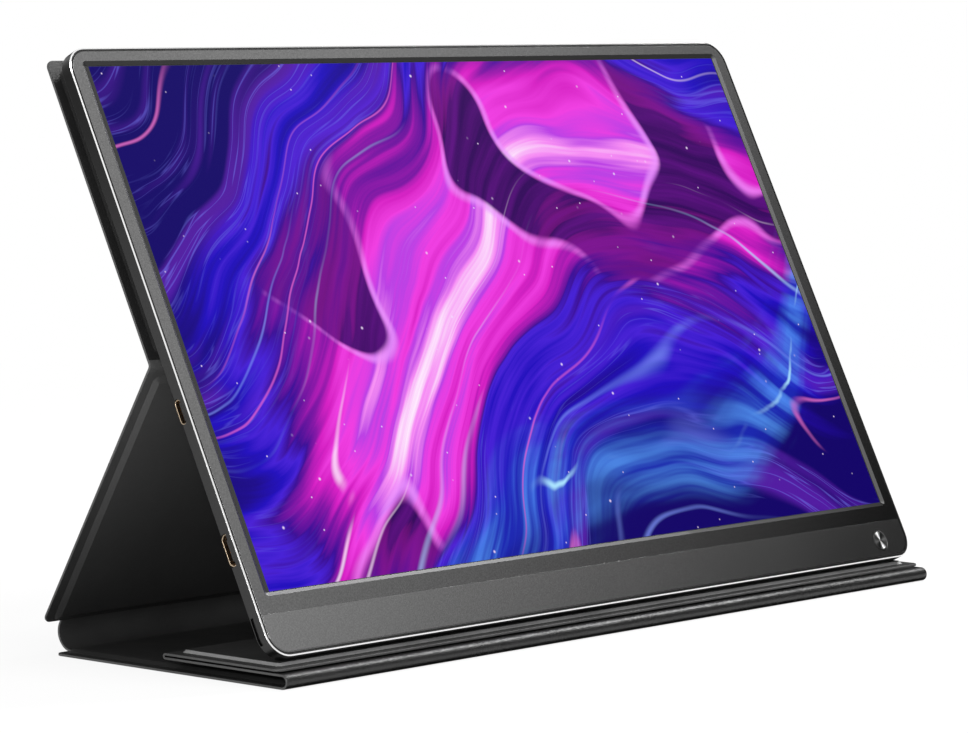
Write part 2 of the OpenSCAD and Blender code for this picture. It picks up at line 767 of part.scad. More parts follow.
module button_board() {
    color([0.04, 0.32, 0.16]) in_screen() difference() {
        box(span(button_x, button_board_w), [button_y - button_d / 2, flex_y1 - fit],
            [button_board_z - small_board_t, button_board_z]);
        for (s = [-1, 1])
            translate([button_x + s * button_post_x, button_y, button_board_z - small_board_t - eps])
                cylinder(h = small_board_t + 2 * eps, r = button_post_r + fit / 2);
    }
}

module button_flex() {
    z1 = button_board_z - small_board_t;
    color([0.75, 0.5, 0.15]) in_screen()
        box([tongue_x1 - flex_seat, button_x + flex_w], [flex_y0, flex_y1], [board_z, z1]);
}

module board_screws() {
    color([0.75, 0.75, 0.78]) in_screen() for (p = board_screw_at) translate([p.x, p.y, board_z]) {
        cylinder(h = head_h, r = head_r);
        translate([0, 0, -board_t - (board_back_z - floor_z)])
            cylinder(h = board_t + board_back_z - floor_z, r = screw_r);
    }
}

module frame_screws() {
    color([0.75, 0.75, 0.78]) in_screen() for (p = frame_screw_at) translate([p.x, p.y, -bezel_t]) {
        cylinder(h = head_h, r = head_r);
        translate([0, 0, -ledge_t - frame_screw_reach])
            cylinder(h = ledge_t + frame_screw_reach, r = screw_r);
    }
}

// Steel plates in the back cover that the cover's magnets hold
module catch_plates() {
    color([0.6, 0.6, 0.62]) in_screen() for (x = magnet_x)
        translate([x, case_top - magnet_edge, floor_z + catch_t / 2])
            cube([2.4 * magnet_d, 1.6 * magnet_d, catch_t], center = true);
}

// ---------- cover panels ----------

// Flat outline of a sheet with its own corner radius at each end
module sheet_outline(y0, y1, r0, r1) {
    translate([-cover_w / 2, y0 + r0]) square([cover_w, y1 - y0 - r0 - r1]);
    if (r0 > 0) translate([0, y0]) round_end(r0);
    if (r1 > 0) translate([0, y1]) mirror([0, 1]) round_end(r1);
}

module round_end(r) {
    translate([r - cover_w / 2, 0]) square([cover_w - 2 * r, r]);
    for (s = [-1, 1]) translate([s * (cover_w / 2 - r), r]) circle(r);
}

module outer_skin(y0, y1, r0, r1) {
    linear_extrude(skin_t) sheet_outline(y0, y1, r0, r1);
}

// Stiff board, set in from the pad's edge by its slope
module stiff_board(y0, y1) {
    inset = side_border + pad_bevel + fit;
    translate([0, (y0 + y1) / 2, skin_t])
        round_plate(cover_w - 2 * inset, y1 - y0 - 2 * (pad_bevel + fit), pad_r - pad_bevel, pad_rise);
}

// Inner skin: a thin border and the raised pad over the board, which reaches from p0 to p1
module inner_skin(y0, y1, r0, r1, p0, p1) {
    difference() {
        union() {
            translate([0, 0, skin_t]) linear_extrude(skin_t) sheet_outline(y0, y1, r0, r1);
            translate([0, (p0 + p1) / 2, sheet_t])
                sloped_plate(cover_w - 2 * side_border, p1 - p0, pad_r, pad_bevel, pad_rise);
        }
        stiff_board(p0, p1);
    }
}

module magnet_row(y, r, t) {
    for (x = magnet_x) translate([x, y, skin_t]) cylinder(h = t, r = r);
}

module upper_outer_skin() {
    color([0.15, 0.15, 0.16]) in_upper() outer_skin(upper_y[0], upper_y[1], 0, cover_r);
}
module upper_board() {
    color([0.55, 0.5, 0.42]) in_upper() difference() {
        stiff_board(upper_pad[0], upper_pad[1]);
        translate([0, 0, -eps]) magnet_row(upper_magnet_y, magnet_d / 2 + magnet_fit, magnet_t + 2 * eps);
    }
}
module upper_inner_skin() {
    color([0.2, 0.2, 0.21]) in_upper()
        inner_skin(upper_y[0], upper_y[1], 0, cover_r, upper_pad[0], upper_pad[1]);
}
module upper_magnets() {
    color([0.7, 0.7, 0.72]) in_upper() magnet_row(upper_magnet_y, magnet_d / 2, magnet_t);
}

module leg_outer_skin() {
    color([0.15, 0.15, 0.16]) in_leg() outer_skin(leg_y[0], leg_y[1], cover_r, 0);
}
module leg_board() {
    color([0.55, 0.5, 0.42]) in_leg() stiff_board(leg_pad[0], leg_pad[1]);
}
module leg_inner_skin() {
    color([0.2, 0.2, 0.21]) in_leg()
        inner_skin(leg_y[0], leg_y[1], cover_r, 0, leg_pad[0], leg_pad[1]);
}

module base_outer_skin() {
    color([0.15, 0.15, 0.16]) in_base() outer_skin(base_y[0], base_y[1], 0, cover_r);
}
module base_board() {
    color([0.55, 0.5, 0.42]) in_base() stiff_board(base_pad[0], base_pad[1]);
}
module base_inner_skin() {
    color([0.2, 0.2, 0.21]) in_base()
        inner_skin(base_y[0], base_y[1], 0, cover_r, base_pad[0], base_pad[1]);
}

module riser_outer_skin() {
    color([0.15, 0.15, 0.16]) in_riser() outer_skin(riser_y[0], riser_y[1], 0, 0);
}
module riser_board() {
    color([0.55, 0.5, 0.42]) in_riser() stiff_board(riser_pad[0], riser_pad[1]);
}
module riser_inner_skin() {
    color([0.2, 0.2, 0.21]) in_riser()
        inner_skin(riser_y[0], riser_y[1], 0, 0, riser_pad[0], riser_pad[1]);
}

module flap_outer_skin() {
    color([0.15, 0.15, 0.16]) in_flap() outer_skin(flap_y[0], flap_y[1], 0, cover_r);
}
module flap_board() {
    color([0.55, 0.5, 0.42]) in_flap() difference() {
        stiff_board(flap_pad[0], flap_pad[1]);
        translate([0, 0, -eps]) magnet_row(flap_magnet_y, magnet_d / 2 + magnet_fit, magnet_t + 2 * eps);
    }
}
module flap_inner_skin() {
    color([0.2, 0.2, 0.21]) in_flap()
        inner_skin(flap_y[0], flap_y[1], 0, cover_r, flap_pad[0], flap_pad[1]);
}
module flap_magnets() {
    color([0.7, 0.7, 0.72]) in_flap() magnet_row(flap_magnet_y, magnet_d / 2, magnet_t);
}

// ---------- fold strips ----------

// Part of a ring between two angles, of the sheet's thickness, in a (y, z) plane
module ring_part(r_out, a0, a1) {
    steps = 8;
    far = 3 * r_out;
    intersection() {
        difference() {
            circle(r_out);
            circle(r_out - sheet_t);
        }
        polygon([[0, 0], for (i = [0:steps]) let (a = a0 + (a1 - a0) * i / steps)
            far * [cos(a), sin(a)]]);
    }
}

// Straight tab of a fold strip along +y or -y (dir) from a tangent point
module tab_part(dir, z0) {
    l = fold_tab - strip_gap;
    translate([dir > 0 ? 0 : -l, z0]) square([l, sheet_t]);
}

module spine_strip() {
    color([0.12, 0.12, 0.13]) translate([0, spine_y, spine_r]) along_x(spine_w) {
        ring_part(spine_r, -90, 90 - leg_angle);
        tab_part(-1, -spine_r);
        rotate(180 - leg_angle) translate([-eps, 0]) tab_part(1, -spine_r);
    }
}

module mid_fold_strip() {
    color([0.12, 0.12, 0.13]) in_leg() translate([0, leg_len, -mid_r]) along_x(cover_w) {
        ring_part(mid_r + sheet_t, 90 - fold_angle, 90);
        tab_part(-1, mid_r);
        rotate(-fold_angle) translate([-eps, 0]) tab_part(1, mid_r);
    }
}

module front_fold_strip() {
    color([0.12, 0.12, 0.13]) translate([0, front_y, front_r]) along_x(cover_w) {
        ring_part(front_r, 90, 270);
        tab_part(1, -front_r);
        tab_part(1, front_r - sheet_t);
    }
}

module rear_fold_strip() {
    color([0.12, 0.12, 0.13]) translate([0, rear_fold_y, 2 * front_r + rear_r_in])
        along_x(cover_w) {
            ring_part(rear_r, -90, 90);
            tab_part(-1, -rear_r);
            tab_part(-1, rear_r_in);
        }
}

side_frame();
rear_cover();
front_bezel();
chin_plate();
screen_gasket();
display_glass();
diffuser_sheets();
light_guide();
reflector_sheet();
led_strip();
panel_frame();
panel_back_plate();
driver_board();
driver_films();
display_cable();
main_board();
display_chip();
thermal_pad();
board_parts();
usb_c_port();
mini_hdmi_port();
speaker_left();
speaker_right();
speaker_mesh_left();
speaker_mesh_right();
speaker_wires();
button_switch();
button_board();
button_flex();
board_screws();
frame_screws();
catch_plates();
power_button();
upper_outer_skin();
upper_board();
upper_inner_skin();
upper_magnets();
mid_fold_strip();
leg_outer_skin();
leg_board();
leg_inner_skin();
spine_strip();
base_outer_skin();
base_board();
base_inner_skin();
front_fold_strip();
riser_outer_skin();
riser_board();
riser_inner_skin();
rear_fold_strip();
flap_outer_skin();
flap_board();
flap_inner_skin();
flap_magnets();
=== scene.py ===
"""Portable monitor on a folding leather cover.

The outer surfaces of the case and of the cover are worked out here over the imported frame, every
part gets its finish, and the floor, the light and the camera are set.  Sizes are in millimetres;
a Place turns them into metres in the row frame.
"""

import logging
import math
from dataclasses import dataclass, field
from enum import Enum
from functools import cached_property
from typing import Any, Callable, Sequence

import bmesh
import bpy
import numpy as np
from mathutils import Matrix, Vector

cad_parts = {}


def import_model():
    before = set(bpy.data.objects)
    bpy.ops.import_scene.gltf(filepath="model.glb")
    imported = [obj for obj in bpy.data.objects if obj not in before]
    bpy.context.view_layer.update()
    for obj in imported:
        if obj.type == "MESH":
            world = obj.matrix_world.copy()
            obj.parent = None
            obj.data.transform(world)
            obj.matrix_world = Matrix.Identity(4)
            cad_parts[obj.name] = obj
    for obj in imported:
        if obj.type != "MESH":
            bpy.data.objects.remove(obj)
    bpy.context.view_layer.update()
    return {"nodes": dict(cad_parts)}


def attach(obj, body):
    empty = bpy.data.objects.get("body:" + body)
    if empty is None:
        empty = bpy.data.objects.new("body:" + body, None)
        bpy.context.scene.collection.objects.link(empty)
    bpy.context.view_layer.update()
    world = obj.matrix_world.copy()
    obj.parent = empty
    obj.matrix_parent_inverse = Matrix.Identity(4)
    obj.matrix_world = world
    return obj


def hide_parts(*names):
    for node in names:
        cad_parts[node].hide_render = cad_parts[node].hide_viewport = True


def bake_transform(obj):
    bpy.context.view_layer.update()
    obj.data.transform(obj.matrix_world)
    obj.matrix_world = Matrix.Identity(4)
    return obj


LOG = logging.getLogger("monitor")
MERGE_DISTANCE, SLIVER_LENGTH = 2e-6, 1e-6
SHARP_ANGLE = 32.0
Material, Object = bpy.types.Material, bpy.types.Object
Colour = tuple[float, float, float]
Pair = tuple[float, float]
Rows = Sequence[tuple[np.ndarray, float]]


# ---------- frames and curves ----------

@dataclass(frozen=True)
class Place:
    """A local frame: its origin in millimetres and its unit axes, one to a row."""

    origin: np.ndarray = field(default_factory=lambda: np.zeros(3))
    axes: np.ndarray = field(default_factory=lambda: np.eye(3))

    def shift(self, x: float = 0.0, y: float = 0.0, z: float = 0.0) -> "Place":
        """The frame moved along its own axes."""
        return Place(self.origin + np.array([x, y, z]) @ self.axes, self.axes)

    def turn(self, axis: str, degrees: float) -> "Place":
        """The frame turned about one of its own axes."""
        turned = np.array(Matrix.Rotation(math.radians(degrees), 3, axis)).T
        return Place(self.origin, turned @ self.axes)

    def metres(self, points: np.ndarray) -> np.ndarray:
        """Local points in the row frame, in metres: 0.001 (origin + p . axes)."""
        return 0.001 * (self.origin + np.asarray(points, float) @ self.axes)

    def euler(self) -> Colour:
        """The frame's turn as XYZ angles."""
        return tuple(Matrix(self.axes.T.tolist()).to_euler("XYZ"))


def unit(vector: np.ndarray) -> np.ndarray:
    """The vector divided by its length."""
    return vector / np.linalg.norm(vector)


def fillet(corners: Sequence[Pair], radii: Sequence[float], steps: int = 6,
           hold: float = 0.3) -> np.ndarray:
    """Rounds the corners of a polyline.

    The arc at a corner is C + (a sin((1 - t) f) + b sin(t f)) / sin f for t from 0 to 1, where a
    and b run from its centre C to its two tangent points and f is the angle between them.  A
    point at each side of the arc keeps the straight beside it flat in the shading.

    Args:
        corners: Corner points in order.
        radii: Radius at each corner of a closed line, or at each inner corner of an open one.
        steps: Segments of each arc.
        hold: Distance of the extra points beyond the arc.

    Returns:
        The points, (steps + 3) for each corner apart from an open line's ends.
    """
    points = np.asarray(corners, float)
    ends = (0, len(points) - 1) if len(radii) < len(points) else ()
    t = np.linspace(0.0, 1.0, steps + 1)[:, None]
    runs = []
    for i, (corner, radius) in enumerate(zip(points, [0.0, *radii, 0.0] if ends else radii)):
        if i in ends:
            runs.append(corner[None])
            continue
        back, on = unit(points[i - 1] - corner), unit(points[(i + 1) % len(points)] - corner)
        half = 0.5 * math.acos(float(np.clip(back @ on, -1.0, 1.0)))
        reach, turn = radius / math.tan(half), math.pi - 2.0 * half
        centre = corner + unit(back + on) * radius / math.sin(half)
        a, b = corner + back * reach - centre, corner + on * reach - centre
        arc = centre + (np.sin((1.0 - t) * turn) * a + np.sin(t * turn) * b) / math.sin(turn)
        rest = reach + (hold if radius > 0.0 else 0.0)
        runs.append(np.vstack([corner + back * rest, arc, corner + on * rest]))
    return np.vstack(runs)


def rounded_box(half: float, low: float, high: float, radii: float | Sequence[float],
                steps: int = 8, hold: float = 0.3) -> np.ndarray:
    """Rectangle with round corners, counterclockwise from its upper right.

    Args:
        half: Half its width, to both sides of x = 0.
        low: Its lower end.
        high: Its upper end.
        radii: One radius, or those of the upper right, upper left, lower left and lower right.
        steps: Segments of each arc.
        hold: Distance of the shading points beyond each arc.

    Returns:
        The outline's points.
    """
    corners = [(half, high), (-half, high), (-half, low), (half, low)]
    return fillet(corners, np.maximum(np.broadcast_to(radii, 4), 0.0), steps, hold)


def carried(outline: Callable[[float], np.ndarray], profile: Sequence[Pair]) -> Rows:
    """The outline set in to each inset of a profile, at that row's height."""
    return [(outline(inset), z) for inset, z in profile]


def loft(rows: Rows) -> np.ndarray:
    """Grid of points from outlines of equal count, each at its own height."""
    return np.stack([np.column_stack([loop, np.full(len(loop), z)]) for loop, z in rows])


def circle(count: int) -> np.ndarray:
    """Points (cos a, sin a) at equal angles round the unit circle."""
    angle = np.linspace(0.0, 2.0 * math.pi, count, endpoint=False)
    return np.stack([np.cos(angle), np.sin(angle)], -1)


# ---------- meshes ----------

@dataclass
class Solid:
    """Patches of one closed mesh, in millimetres in the frame of its place."""

    points: list[np.ndarray] = field(default_factory=list)
    faces: list[list[int]] = field(default_factory=list)
    marks: list[int] = field(default_factory=list)
    total: int = 0

    def patch(self, grid: np.ndarray, marks: int | Sequence[int] | np.ndarray = 0,
              around: bool = True, cycle: bool = False) -> "Solid":
        """Adds the quads (i, j), (i, j+1), (i+1, j+1), (i+1, j) of a grid.

        Args:
            grid: Points as rows, columns and coordinates.
            marks: Finish number, one for all, for each row of quads or for each quad.
            around: Whether the last column joins the first.
            cycle: Whether the last row joins the first.

        Returns:
            The solid itself.
        """
        index = self.total + np.arange(grid.shape[0] * grid.shape[1]).reshape(grid.shape[:2])
        if around:
            index = np.hstack([index, index[:, :1]])
        if cycle:
            index = np.vstack([index, index[:1]])
        quads = np.stack([index[:-1, :-1], index[:-1, 1:], index[1:, 1:], index[1:, :-1]], -1)
        table = marks if np.ndim(marks) == 2 else np.reshape(marks, (-1, 1))
        self.marks += np.broadcast_to(table, quads.shape[:2]).ravel().tolist()
        self.faces += quads.reshape(-1, 4).tolist()
        self.points.append(grid.reshape(-1, 3))
        self.total += grid.shape[0] * grid.shape[1]
        return self

    def cap(self, loop: np.ndarray, mark: int = 0) -> "Solid":
        """Adds one flat face over a closed outline of points.

        Args:
            loop: The outline.
            mark: Finish number.

        Returns:
            The solid itself.
        """
        self.faces.append(list(range(self.total, self.total + len(loop))))
        self.marks.append(mark)
        self.points.append(loop)
        self.total += len(loop)
        return self

    def skin(self, rows: Rows, marks: int | Sequence[int] = 0) -> "Solid":
        """Adds a loft with a cap at each end."""
        grid, ends = loft(rows), np.atleast_1d(marks)
        return self.patch(grid, marks).cap(grid[0], int(ends[0])).cap(grid[-1], int(ends[-1]))

    def turned(self, profile: Sequence[Pair], centre: Pair, count: int, mark: int = 0) -> "Solid":
        """Adds a turned form: (cx + r cos a, cy + r sin a, z) for each (r, z) of the profile."""
        return self.patch(loft([(centre + r * circle(count), z) for r, z in profile]), mark)

    def blocks(self, centres: np.ndarray, size: Sequence[float], mark: int = 0) -> "Solid":
        """Adds a small box of that size about each centre.

        Args:
            centres: One centre to a row.
            size: Lengths along x, y and z.
            mark: Finish number.

        Returns:
            The solid itself.
        """
        corner = np.array([[-1, -1], [1, -1], [1, 1], [-1, 1]]) * 0.5 * np.asarray(size[:2])
        for centre in centres:
            self.skin([(corner + centre[:2], centre[2] + s * size[2] / 2) for s in (-1, 1)], mark)
        return self

    def build(self, name: str, place: Place, finishes: Sequence[Material] = (),
              sharp: float = SHARP_ANGLE) -> Object:
        """Makes the object, with its doubles merged and its faces outward.

        Args:
            name: The piece's name.
            place: Frame of the points.
            finishes: Materials in the order of the finish numbers.
            sharp: Angle in degrees above which an edge is sharp.

        Returns:
            The object, at the origin.
        """
        mesh = bpy.data.meshes.new(name)
        mesh.from_pydata(place.metres(np.vstack(self.points)).tolist(), [], self.faces)
        mesh.polygons.foreach_set("material_index", np.array(self.marks, np.int32))
        work = bmesh.new()
        work.from_mesh(mesh)
        bmesh.ops.remove_doubles(work, verts=work.verts, dist=MERGE_DISTANCE)
        bmesh.ops.dissolve_degenerate(work, dist=SLIVER_LENGTH, edges=work.edges)
        bmesh.ops.recalc_face_normals(work, faces=work.faces)
        work.to_mesh(mesh)
        work.free()
        for finish in finishes:
            mesh.materials.append(finish)
        shade(mesh, sharp)
        piece = bpy.data.objects.new(name, mesh)
        bpy.context.scene.collection.objects.link(piece)
        return piece


def shade(mesh: bpy.types.Mesh, sharp: float = SHARP_ANGLE) -> None:
    """Smooth shading with sharp edges above an angle in degrees.

    Args:
        mesh: The mesh to shade.
        sharp: The angle.
    """
    mesh.polygons.foreach_set("use_smooth", np.ones(len(mesh.polygons), bool))
    mesh.set_sharp_from_angle(angle=math.radians(sharp))
    mesh.update()


def carve(piece: Object, tools: Sequence[Object]) -> None:
    """Cuts each cutter's form out of a piece and removes the cutters.

    Args:
        piece: The closed mesh to cut.
        tools: Closed meshes to take away.
    """
    for tool in tools:
        cut = piece.modifiers.new("cut", "BOOLEAN")
        cut.operation, cut.solver, cut.object = "DIFFERENCE", "EXACT", tool
    live = piece.evaluated_get(bpy.context.evaluated_depsgraph_get())
    old, piece.data = piece.data, bpy.data.meshes.new_from_object(live)
    piece.modifiers.clear()
    name = old.name
    for mesh in (old, *(tool.data for tool in tools)):
        bpy.data.meshes.remove(mesh)
    piece.data.name = name
    shade(piece.data)


def join(piece: Object, other: Object) -> None:
    """Adds another object's mesh to a piece and removes the other object.

    Args:
        piece: The object that stays.
        other: The object that goes.
    """
    both = bmesh.new()
    both.from_mesh(piece.data)
    both.from_mesh(other.data)
    both.to_mesh(piece.data)
    both.free()
    bpy.data.meshes.remove(other.data)
    shade(piece.data)


def settle(piece: Object, body: str, slot: str, *nodes: str) -> None:
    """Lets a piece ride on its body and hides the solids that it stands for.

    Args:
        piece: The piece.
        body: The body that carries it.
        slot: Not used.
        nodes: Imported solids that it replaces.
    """
    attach(piece, body)
    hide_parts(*nodes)
    LOG.info("%s: %d faces on %s", piece.name, len(piece.data.polygons), body)


# ---------- finishes ----------

def rgb(*levels: float) -> Colour:
    """Display levels v of 255 as linear values: v / 12.92, or ((v + 0.055) / 1.055) ^ 2.4."""
    v = np.clip(np.array(levels, float) / 255.0, 0.0, 1.0)
    return tuple(np.where(v <= 0.04045, v / 12.92, ((v + 0.055) / 1.055) ** 2.4).tolist())


def tone(level: float) -> Colour:
    """A neutral display level as a linear colour."""
    return rgb(level, level, level)


def spread(colour: Colour, share: float) -> tuple[Colour, Colour]:
    """The colour less and plus a share of itself."""
    return tuple(tuple(min(c * (1.0 + s * share), 1.0) for c in colour) for s in (-1.0, 1.0))


def math_method(operation: str) -> Callable[..., "Signal"]:
    """A method that adds one Math node of a kind to the signal's recipe."""
    def method(self: "Signal", *others: Any) -> "Signal":
        """The node's output for this signal and the others."""
        return self.recipe.math(operation, self, *others)
    return method


@dataclass(frozen=True, eq=False)
class Signal:
    """A node's output; arithmetic and the methods add nodes to its recipe."""

    recipe: "Recipe"
    socket: bpy.types.NodeSocket

    __add__ = math_method("ADD")
    __sub__ = math_method("SUBTRACT")
    __mul__ = math_method("MULTIPLY")
    __abs__ = math_method("ABSOLUTE")
    over = math_method("GREATER_THAN")
    peak = math_method("MAXIMUM")

    def __rsub__(self, number: float) -> "Signal":
        """A number less this signal."""
        return self.recipe.math("SUBTRACT", number, self)

    def level(self, low: float, high: float, to_low: float = 0.0, to_high: float = 1.0,
              smooth: bool = False) -> "Signal":
        """Maps one range onto another, clamped.

        Args:
            low: Start of the range.
            high: End of the range.
            to_low: Value at the start.
            to_high: Value at the end.
            smooth: Whether the step is smooth.

        Returns:
            The mapped signal.
        """
        inputs = {"Value": self, "From Min": low, "From Max": high, "To Min": to_low,
                  "To Max": to_high}
        kind = "SMOOTHSTEP" if smooth else "LINEAR"
        return self.recipe.add("MapRange", inputs, interpolation_type=kind)

    def mix(self, a: Any, b: Any) -> "Signal":
        """The colour a where this is 0 and b where it is 1."""
        return self.recipe.add("Mix", {0: self, 6: a, 7: b}, 2, data_type="RGBA")

    def ramp(self, stops: Sequence[tuple[float, Colour]]) -> "Signal":
        """Colour ramp through stops of position and colour.

        Args:
            stops: Pairs of position and colour.

        Returns:
            The colour.
        """
        node = self.recipe.node("ValToRGB", {"Fac": self})
        elements = node.color_ramp.elements
        while len(elements) < len(stops):
            elements.new(0.5)
        for element, (position, colour) in zip(elements, stops):
            element.position, element.color = position, (*colour, 1.0)
        return Signal(self.recipe, node.outputs[0])

    def vector(self, operation: str, other: Any = (0.0, 0.0, 0.0), scale: Any = 1.0,
               out: int | str = 0) -> "Signal":
        """One Vector Math node."""
        inputs = {0: self, "Scale": scale} if operation == "SCALE" else {0: self, 1: other}
        return self.recipe.add("VectorMath", inputs, out, operation=operation)

    def split(self) -> list["Signal"]:
        """The three parts of this vector."""
        return [Signal(self.recipe, s) for s in self.recipe.node("SeparateXYZ", {0: self}).outputs]

    def mapped(self, **inputs: Any) -> "Signal":
        """This vector with the Scale, Rotation and Location of a Mapping node."""
        return self.recipe.add("Mapping", {"Vector": self, **inputs})


class Recipe:
    """One node material or world; nodes are added and linked to its first shader."""

    def __init__(self, name: str, world: bool = False) -> None:
        """Makes the material, or the world, with its usual shader.

        Args:
            name: Its name.
            world: Whether it is a world.
        """
        self.block = (bpy.data.worlds if world else bpy.data.materials).new(name)
        self.block.use_nodes = True
        self.tree = self.block.node_tree
        self.shader = self.tree.nodes["Background" if world else "Principled BSDF"]

    @cached_property
    def spot(self) -> Signal:
        """The piece's own Object coordinates."""
        return self.add("TexCoord", {}, "Object")

    def feed(self, socket: bpy.types.NodeSocket, value: Any) -> None:
        """Links a signal to an input, or sets the input's own value.

        Args:
            socket: The input.
            value: A signal, a number, a vector or a colour.
        """
        if isinstance(value, Signal):
            self.tree.links.new(value.socket, socket)
        elif hasattr(socket.default_value, "__len__") and len(value) < len(socket.default_value):
            socket.default_value = (*value, 1.0)
        else:
            socket.default_value = value

    def node(self, kind: str, inputs: dict[str | int, Any], **settings: Any) -> bpy.types.Node:
        """Adds a node of a kind with its settings and inputs.

        Args:
            kind: The node's type without its prefix.
            inputs: Values by name or number.
            settings: The node's own properties.

        Returns:
            The node.
        """
        node = self.tree.nodes.new("ShaderNode" + kind)
        for key, value in settings.items():
            setattr(node, key, value)
        for key, value in inputs.items():
            self.feed(node.inputs[key], value)
        return node

    def add(self, kind: str, inputs: dict[str | int, Any], out: int | str = 0,
            **settings: Any) -> Signal:
        """Adds a node and gives one of its outputs."""
        return Signal(self, self.node(kind, inputs, **settings).outputs[out])

    def math(self, operation: str, *values: Any) -> Signal:
        """One Math node."""
        return self.add("Math", dict(enumerate(values)), operation=operation)

    def surface(self, **inputs: Any) -> None:
        """Sets the shader's inputs; an underscore stands for a space."""
        for key, value in inputs.items():
            self.feed(self.shader.inputs[key.replace("_", " ")], value)

    def replace_shader(self, shader: Signal) -> None:
        """Sends another shader to the output."""
        self.tree.links.new(shader.socket, self.tree.nodes["Material Output"].inputs["Surface"])

    def local(self, place: Place, scale: float = 0.001) -> Signal:
        """The piece's own coordinates in a place's frame, in units of scale metres."""
        return self.add("Mapping", {
            "Vector": self.spot, "Location": tuple(0.001 * place.origin),
            "Rotation": place.euler(), "Scale": (scale,) * 3}, vector_type="TEXTURE")

    def join(self, x: Any, y: Any = 0.0, z: Any = 0.0) -> Signal:
        """A vector from its three parts."""
        return self.add("CombineXYZ", {0: x, 1: y, 2: z})

    def noise(self, scale: float, detail: float = 3.0, vector: Signal | None = None,
              rough: float = 0.5, out: int | str = 0) -> Signal:
        """Noise from 0 to 1, or as a colour from the output of that name."""
        return self.add("TexNoise", {"Vector": vector or self.spot, "Scale": scale,
                                     "Detail": detail, "Roughness": rough}, out)

    def relief(self, height: Signal, depth: float, **below: Signal) -> Signal:
        """Bump of a depth in millimetres, over another Normal if given."""
        return self.add("Bump", {"Height": height, "Distance": 0.001 * depth, "Strength": 1.0,
                                 **below})


@dataclass(frozen=True)
class Finish:
    """A named material; each kind of finish adds its own nodes."""

    name: str

    def make(self) -> Material:
        """Makes the material.

        Returns:
            The material.
        """
        r = Recipe(self.name)
        self.paint(r)
        return r.block

    def paint(self, r: Recipe) -> None:
        """Adds the nodes of this kind of finish to a recipe."""
        raise NotImplementedError


@dataclass(frozen=True)
class Leather(Finish):
    """Coated leather: pebbles of a size in millimetres between fine creases.

    Where a top tone is given, light and shade are painted by height: the colour runs from its own
    tone at z = 12 mm to the top tone at z = 90 mm.
    """

    level: float
    pebble: float
    depth: float
    gloss: float
    shine: float = 0.42
    # tone reached at z = 90 mm: painted light and shade by height
    top: float | None = None

    def paint(self, r: Recipe) -> None:
        """Adds smooth cells for the pebbles, noise for folds, and worn high spots.

        Args:
            r: The recipe to paint.
        """
        warp = r.noise(700.0, 2.0, out="Color")
        bent = r.spot.vector("ADD", warp.vector("SCALE", scale=0.0005 * self.pebble))
        cells = r.add("TexVoronoi", {"Vector": bent, "Scale": 1000.0 / self.pebble,
                                     "Smoothness": 0.6}, feature="SMOOTH_F1")
        pebbles = cells.level(0.75, 0.1, smooth=True)
        fine, folds, patch = r.noise(5200.0), r.noise(90.0, 4.0), r.noise(30.0, 4.0)
        colour = patch.level(0.3, 0.7).mix(tone(self.level * 0.8), tone(self.level * 1.18))
        colour = (pebbles * 0.3).mix(colour, tone(self.level * 1.35))
        # painted light and shade: the colour grows lighter with height
        if self.top is not None:
            colour = r.spot.split()[2].level(0.012, 0.09).mix(colour, tone(self.top))
        rough = (patch + fine * 0.4).level(0.4, 1.0, self.gloss + 0.06, self.gloss - 0.05)
        grain = r.relief(pebbles + fine * 0.25, self.depth, Normal=r.relief(folds, 0.25))
        r.surface(Base_Color=colour, Roughness=rough, Specular_IOR_Level=self.shine, Normal=grain)


@dataclass(frozen=True)
class Metal(Finish):
    """Metal with a fine blasted or brushed grain, in height, colour and gloss.

    The colour falls to the share top of itself at the upper end of the case, as painted shade.
    """

    colour: Colour
    rough: float
    grain: float = 0.35
    depth: float = 0.004
    vary: float = 0.12
    # share of the colour kept at the case's upper end: painted shade
    top: float = 1.0

    def paint(self, r: Recipe) -> None:
        """Adds two sizes of grain.

        Args:
            r: The recipe to paint.
        """
        fine, soft = r.noise(1000.0 / self.grain, 2.0), r.noise(14.0)
        colour = fine.level(0.35, 0.65).mix(*spread(self.colour, self.vary))
        # painted shade: the colour darkens toward the upper end of the case
        if self.top < 1.0:
            share = r.spot.split()[2].level(0.11, 0.2, 1.0, self.top, smooth=True)
            colour = colour.vector("SCALE", scale=share)
        rough = (soft + fine * 0.5).level(0.4, 1.1, self.rough * 0.9, self.rough * 1.1)
        r.surface(Base_Color=colour, Metallic=1.0, Roughness=rough,
                  Normal=r.relief(fine, self.depth))


@dataclass(frozen=True)
class LipMetal(Finish):
    """Metal of the lip round the picture, with painted light and shade: a tone above, one beside
    and one below the picture stand in for how the light falls on each side of the lip.

    Below the picture it has tones for the left end, the middle and the right end, a painted
    reflection of a lamp that fades toward the right.
    """

    place: Place
    half: Pair
    # tones above, beside and below the picture: painted light and shade
    above: float
    beside: float
    below: tuple[float, float, float]
    rough: float = 0.4

    def paint(self, r: Recipe) -> None:
        """A point lies beside the picture where |x| - a > |y| - b.

        Args:
            r: The recipe to paint.
        """
        x, y, _ = r.local(self.place).split()
        wide, tall = self.half
        upper = y.over(0.0)
        # painted reflection below the picture: tones falling from left to right
        foot = x.level(-wide, wide).ramp([(0.5 * i, tone(v)) for i, v in enumerate(self.below)])
        colour = (abs(x) - wide).over(abs(y) - tall).mix(
            upper.mix(foot, tone(self.above)), tone(self.beside))
        # painted reflection: the specular tint dims toward the right end below the picture
        reflection_fade = x.level(-0.5 * wide, wide) * (1.0 - upper)
        grain = r.noise(2500.0, 2.0)
        r.surface(Base_Color=grain.level(0.3, 0.7, 0.0, 0.12).mix(colour, tone(20)), Metallic=1.0,
                  Roughness=self.rough, Specular_Tint=reflection_fade.mix(tone(255), tone(205)),
                  Normal=r.relief(grain, 0.002))


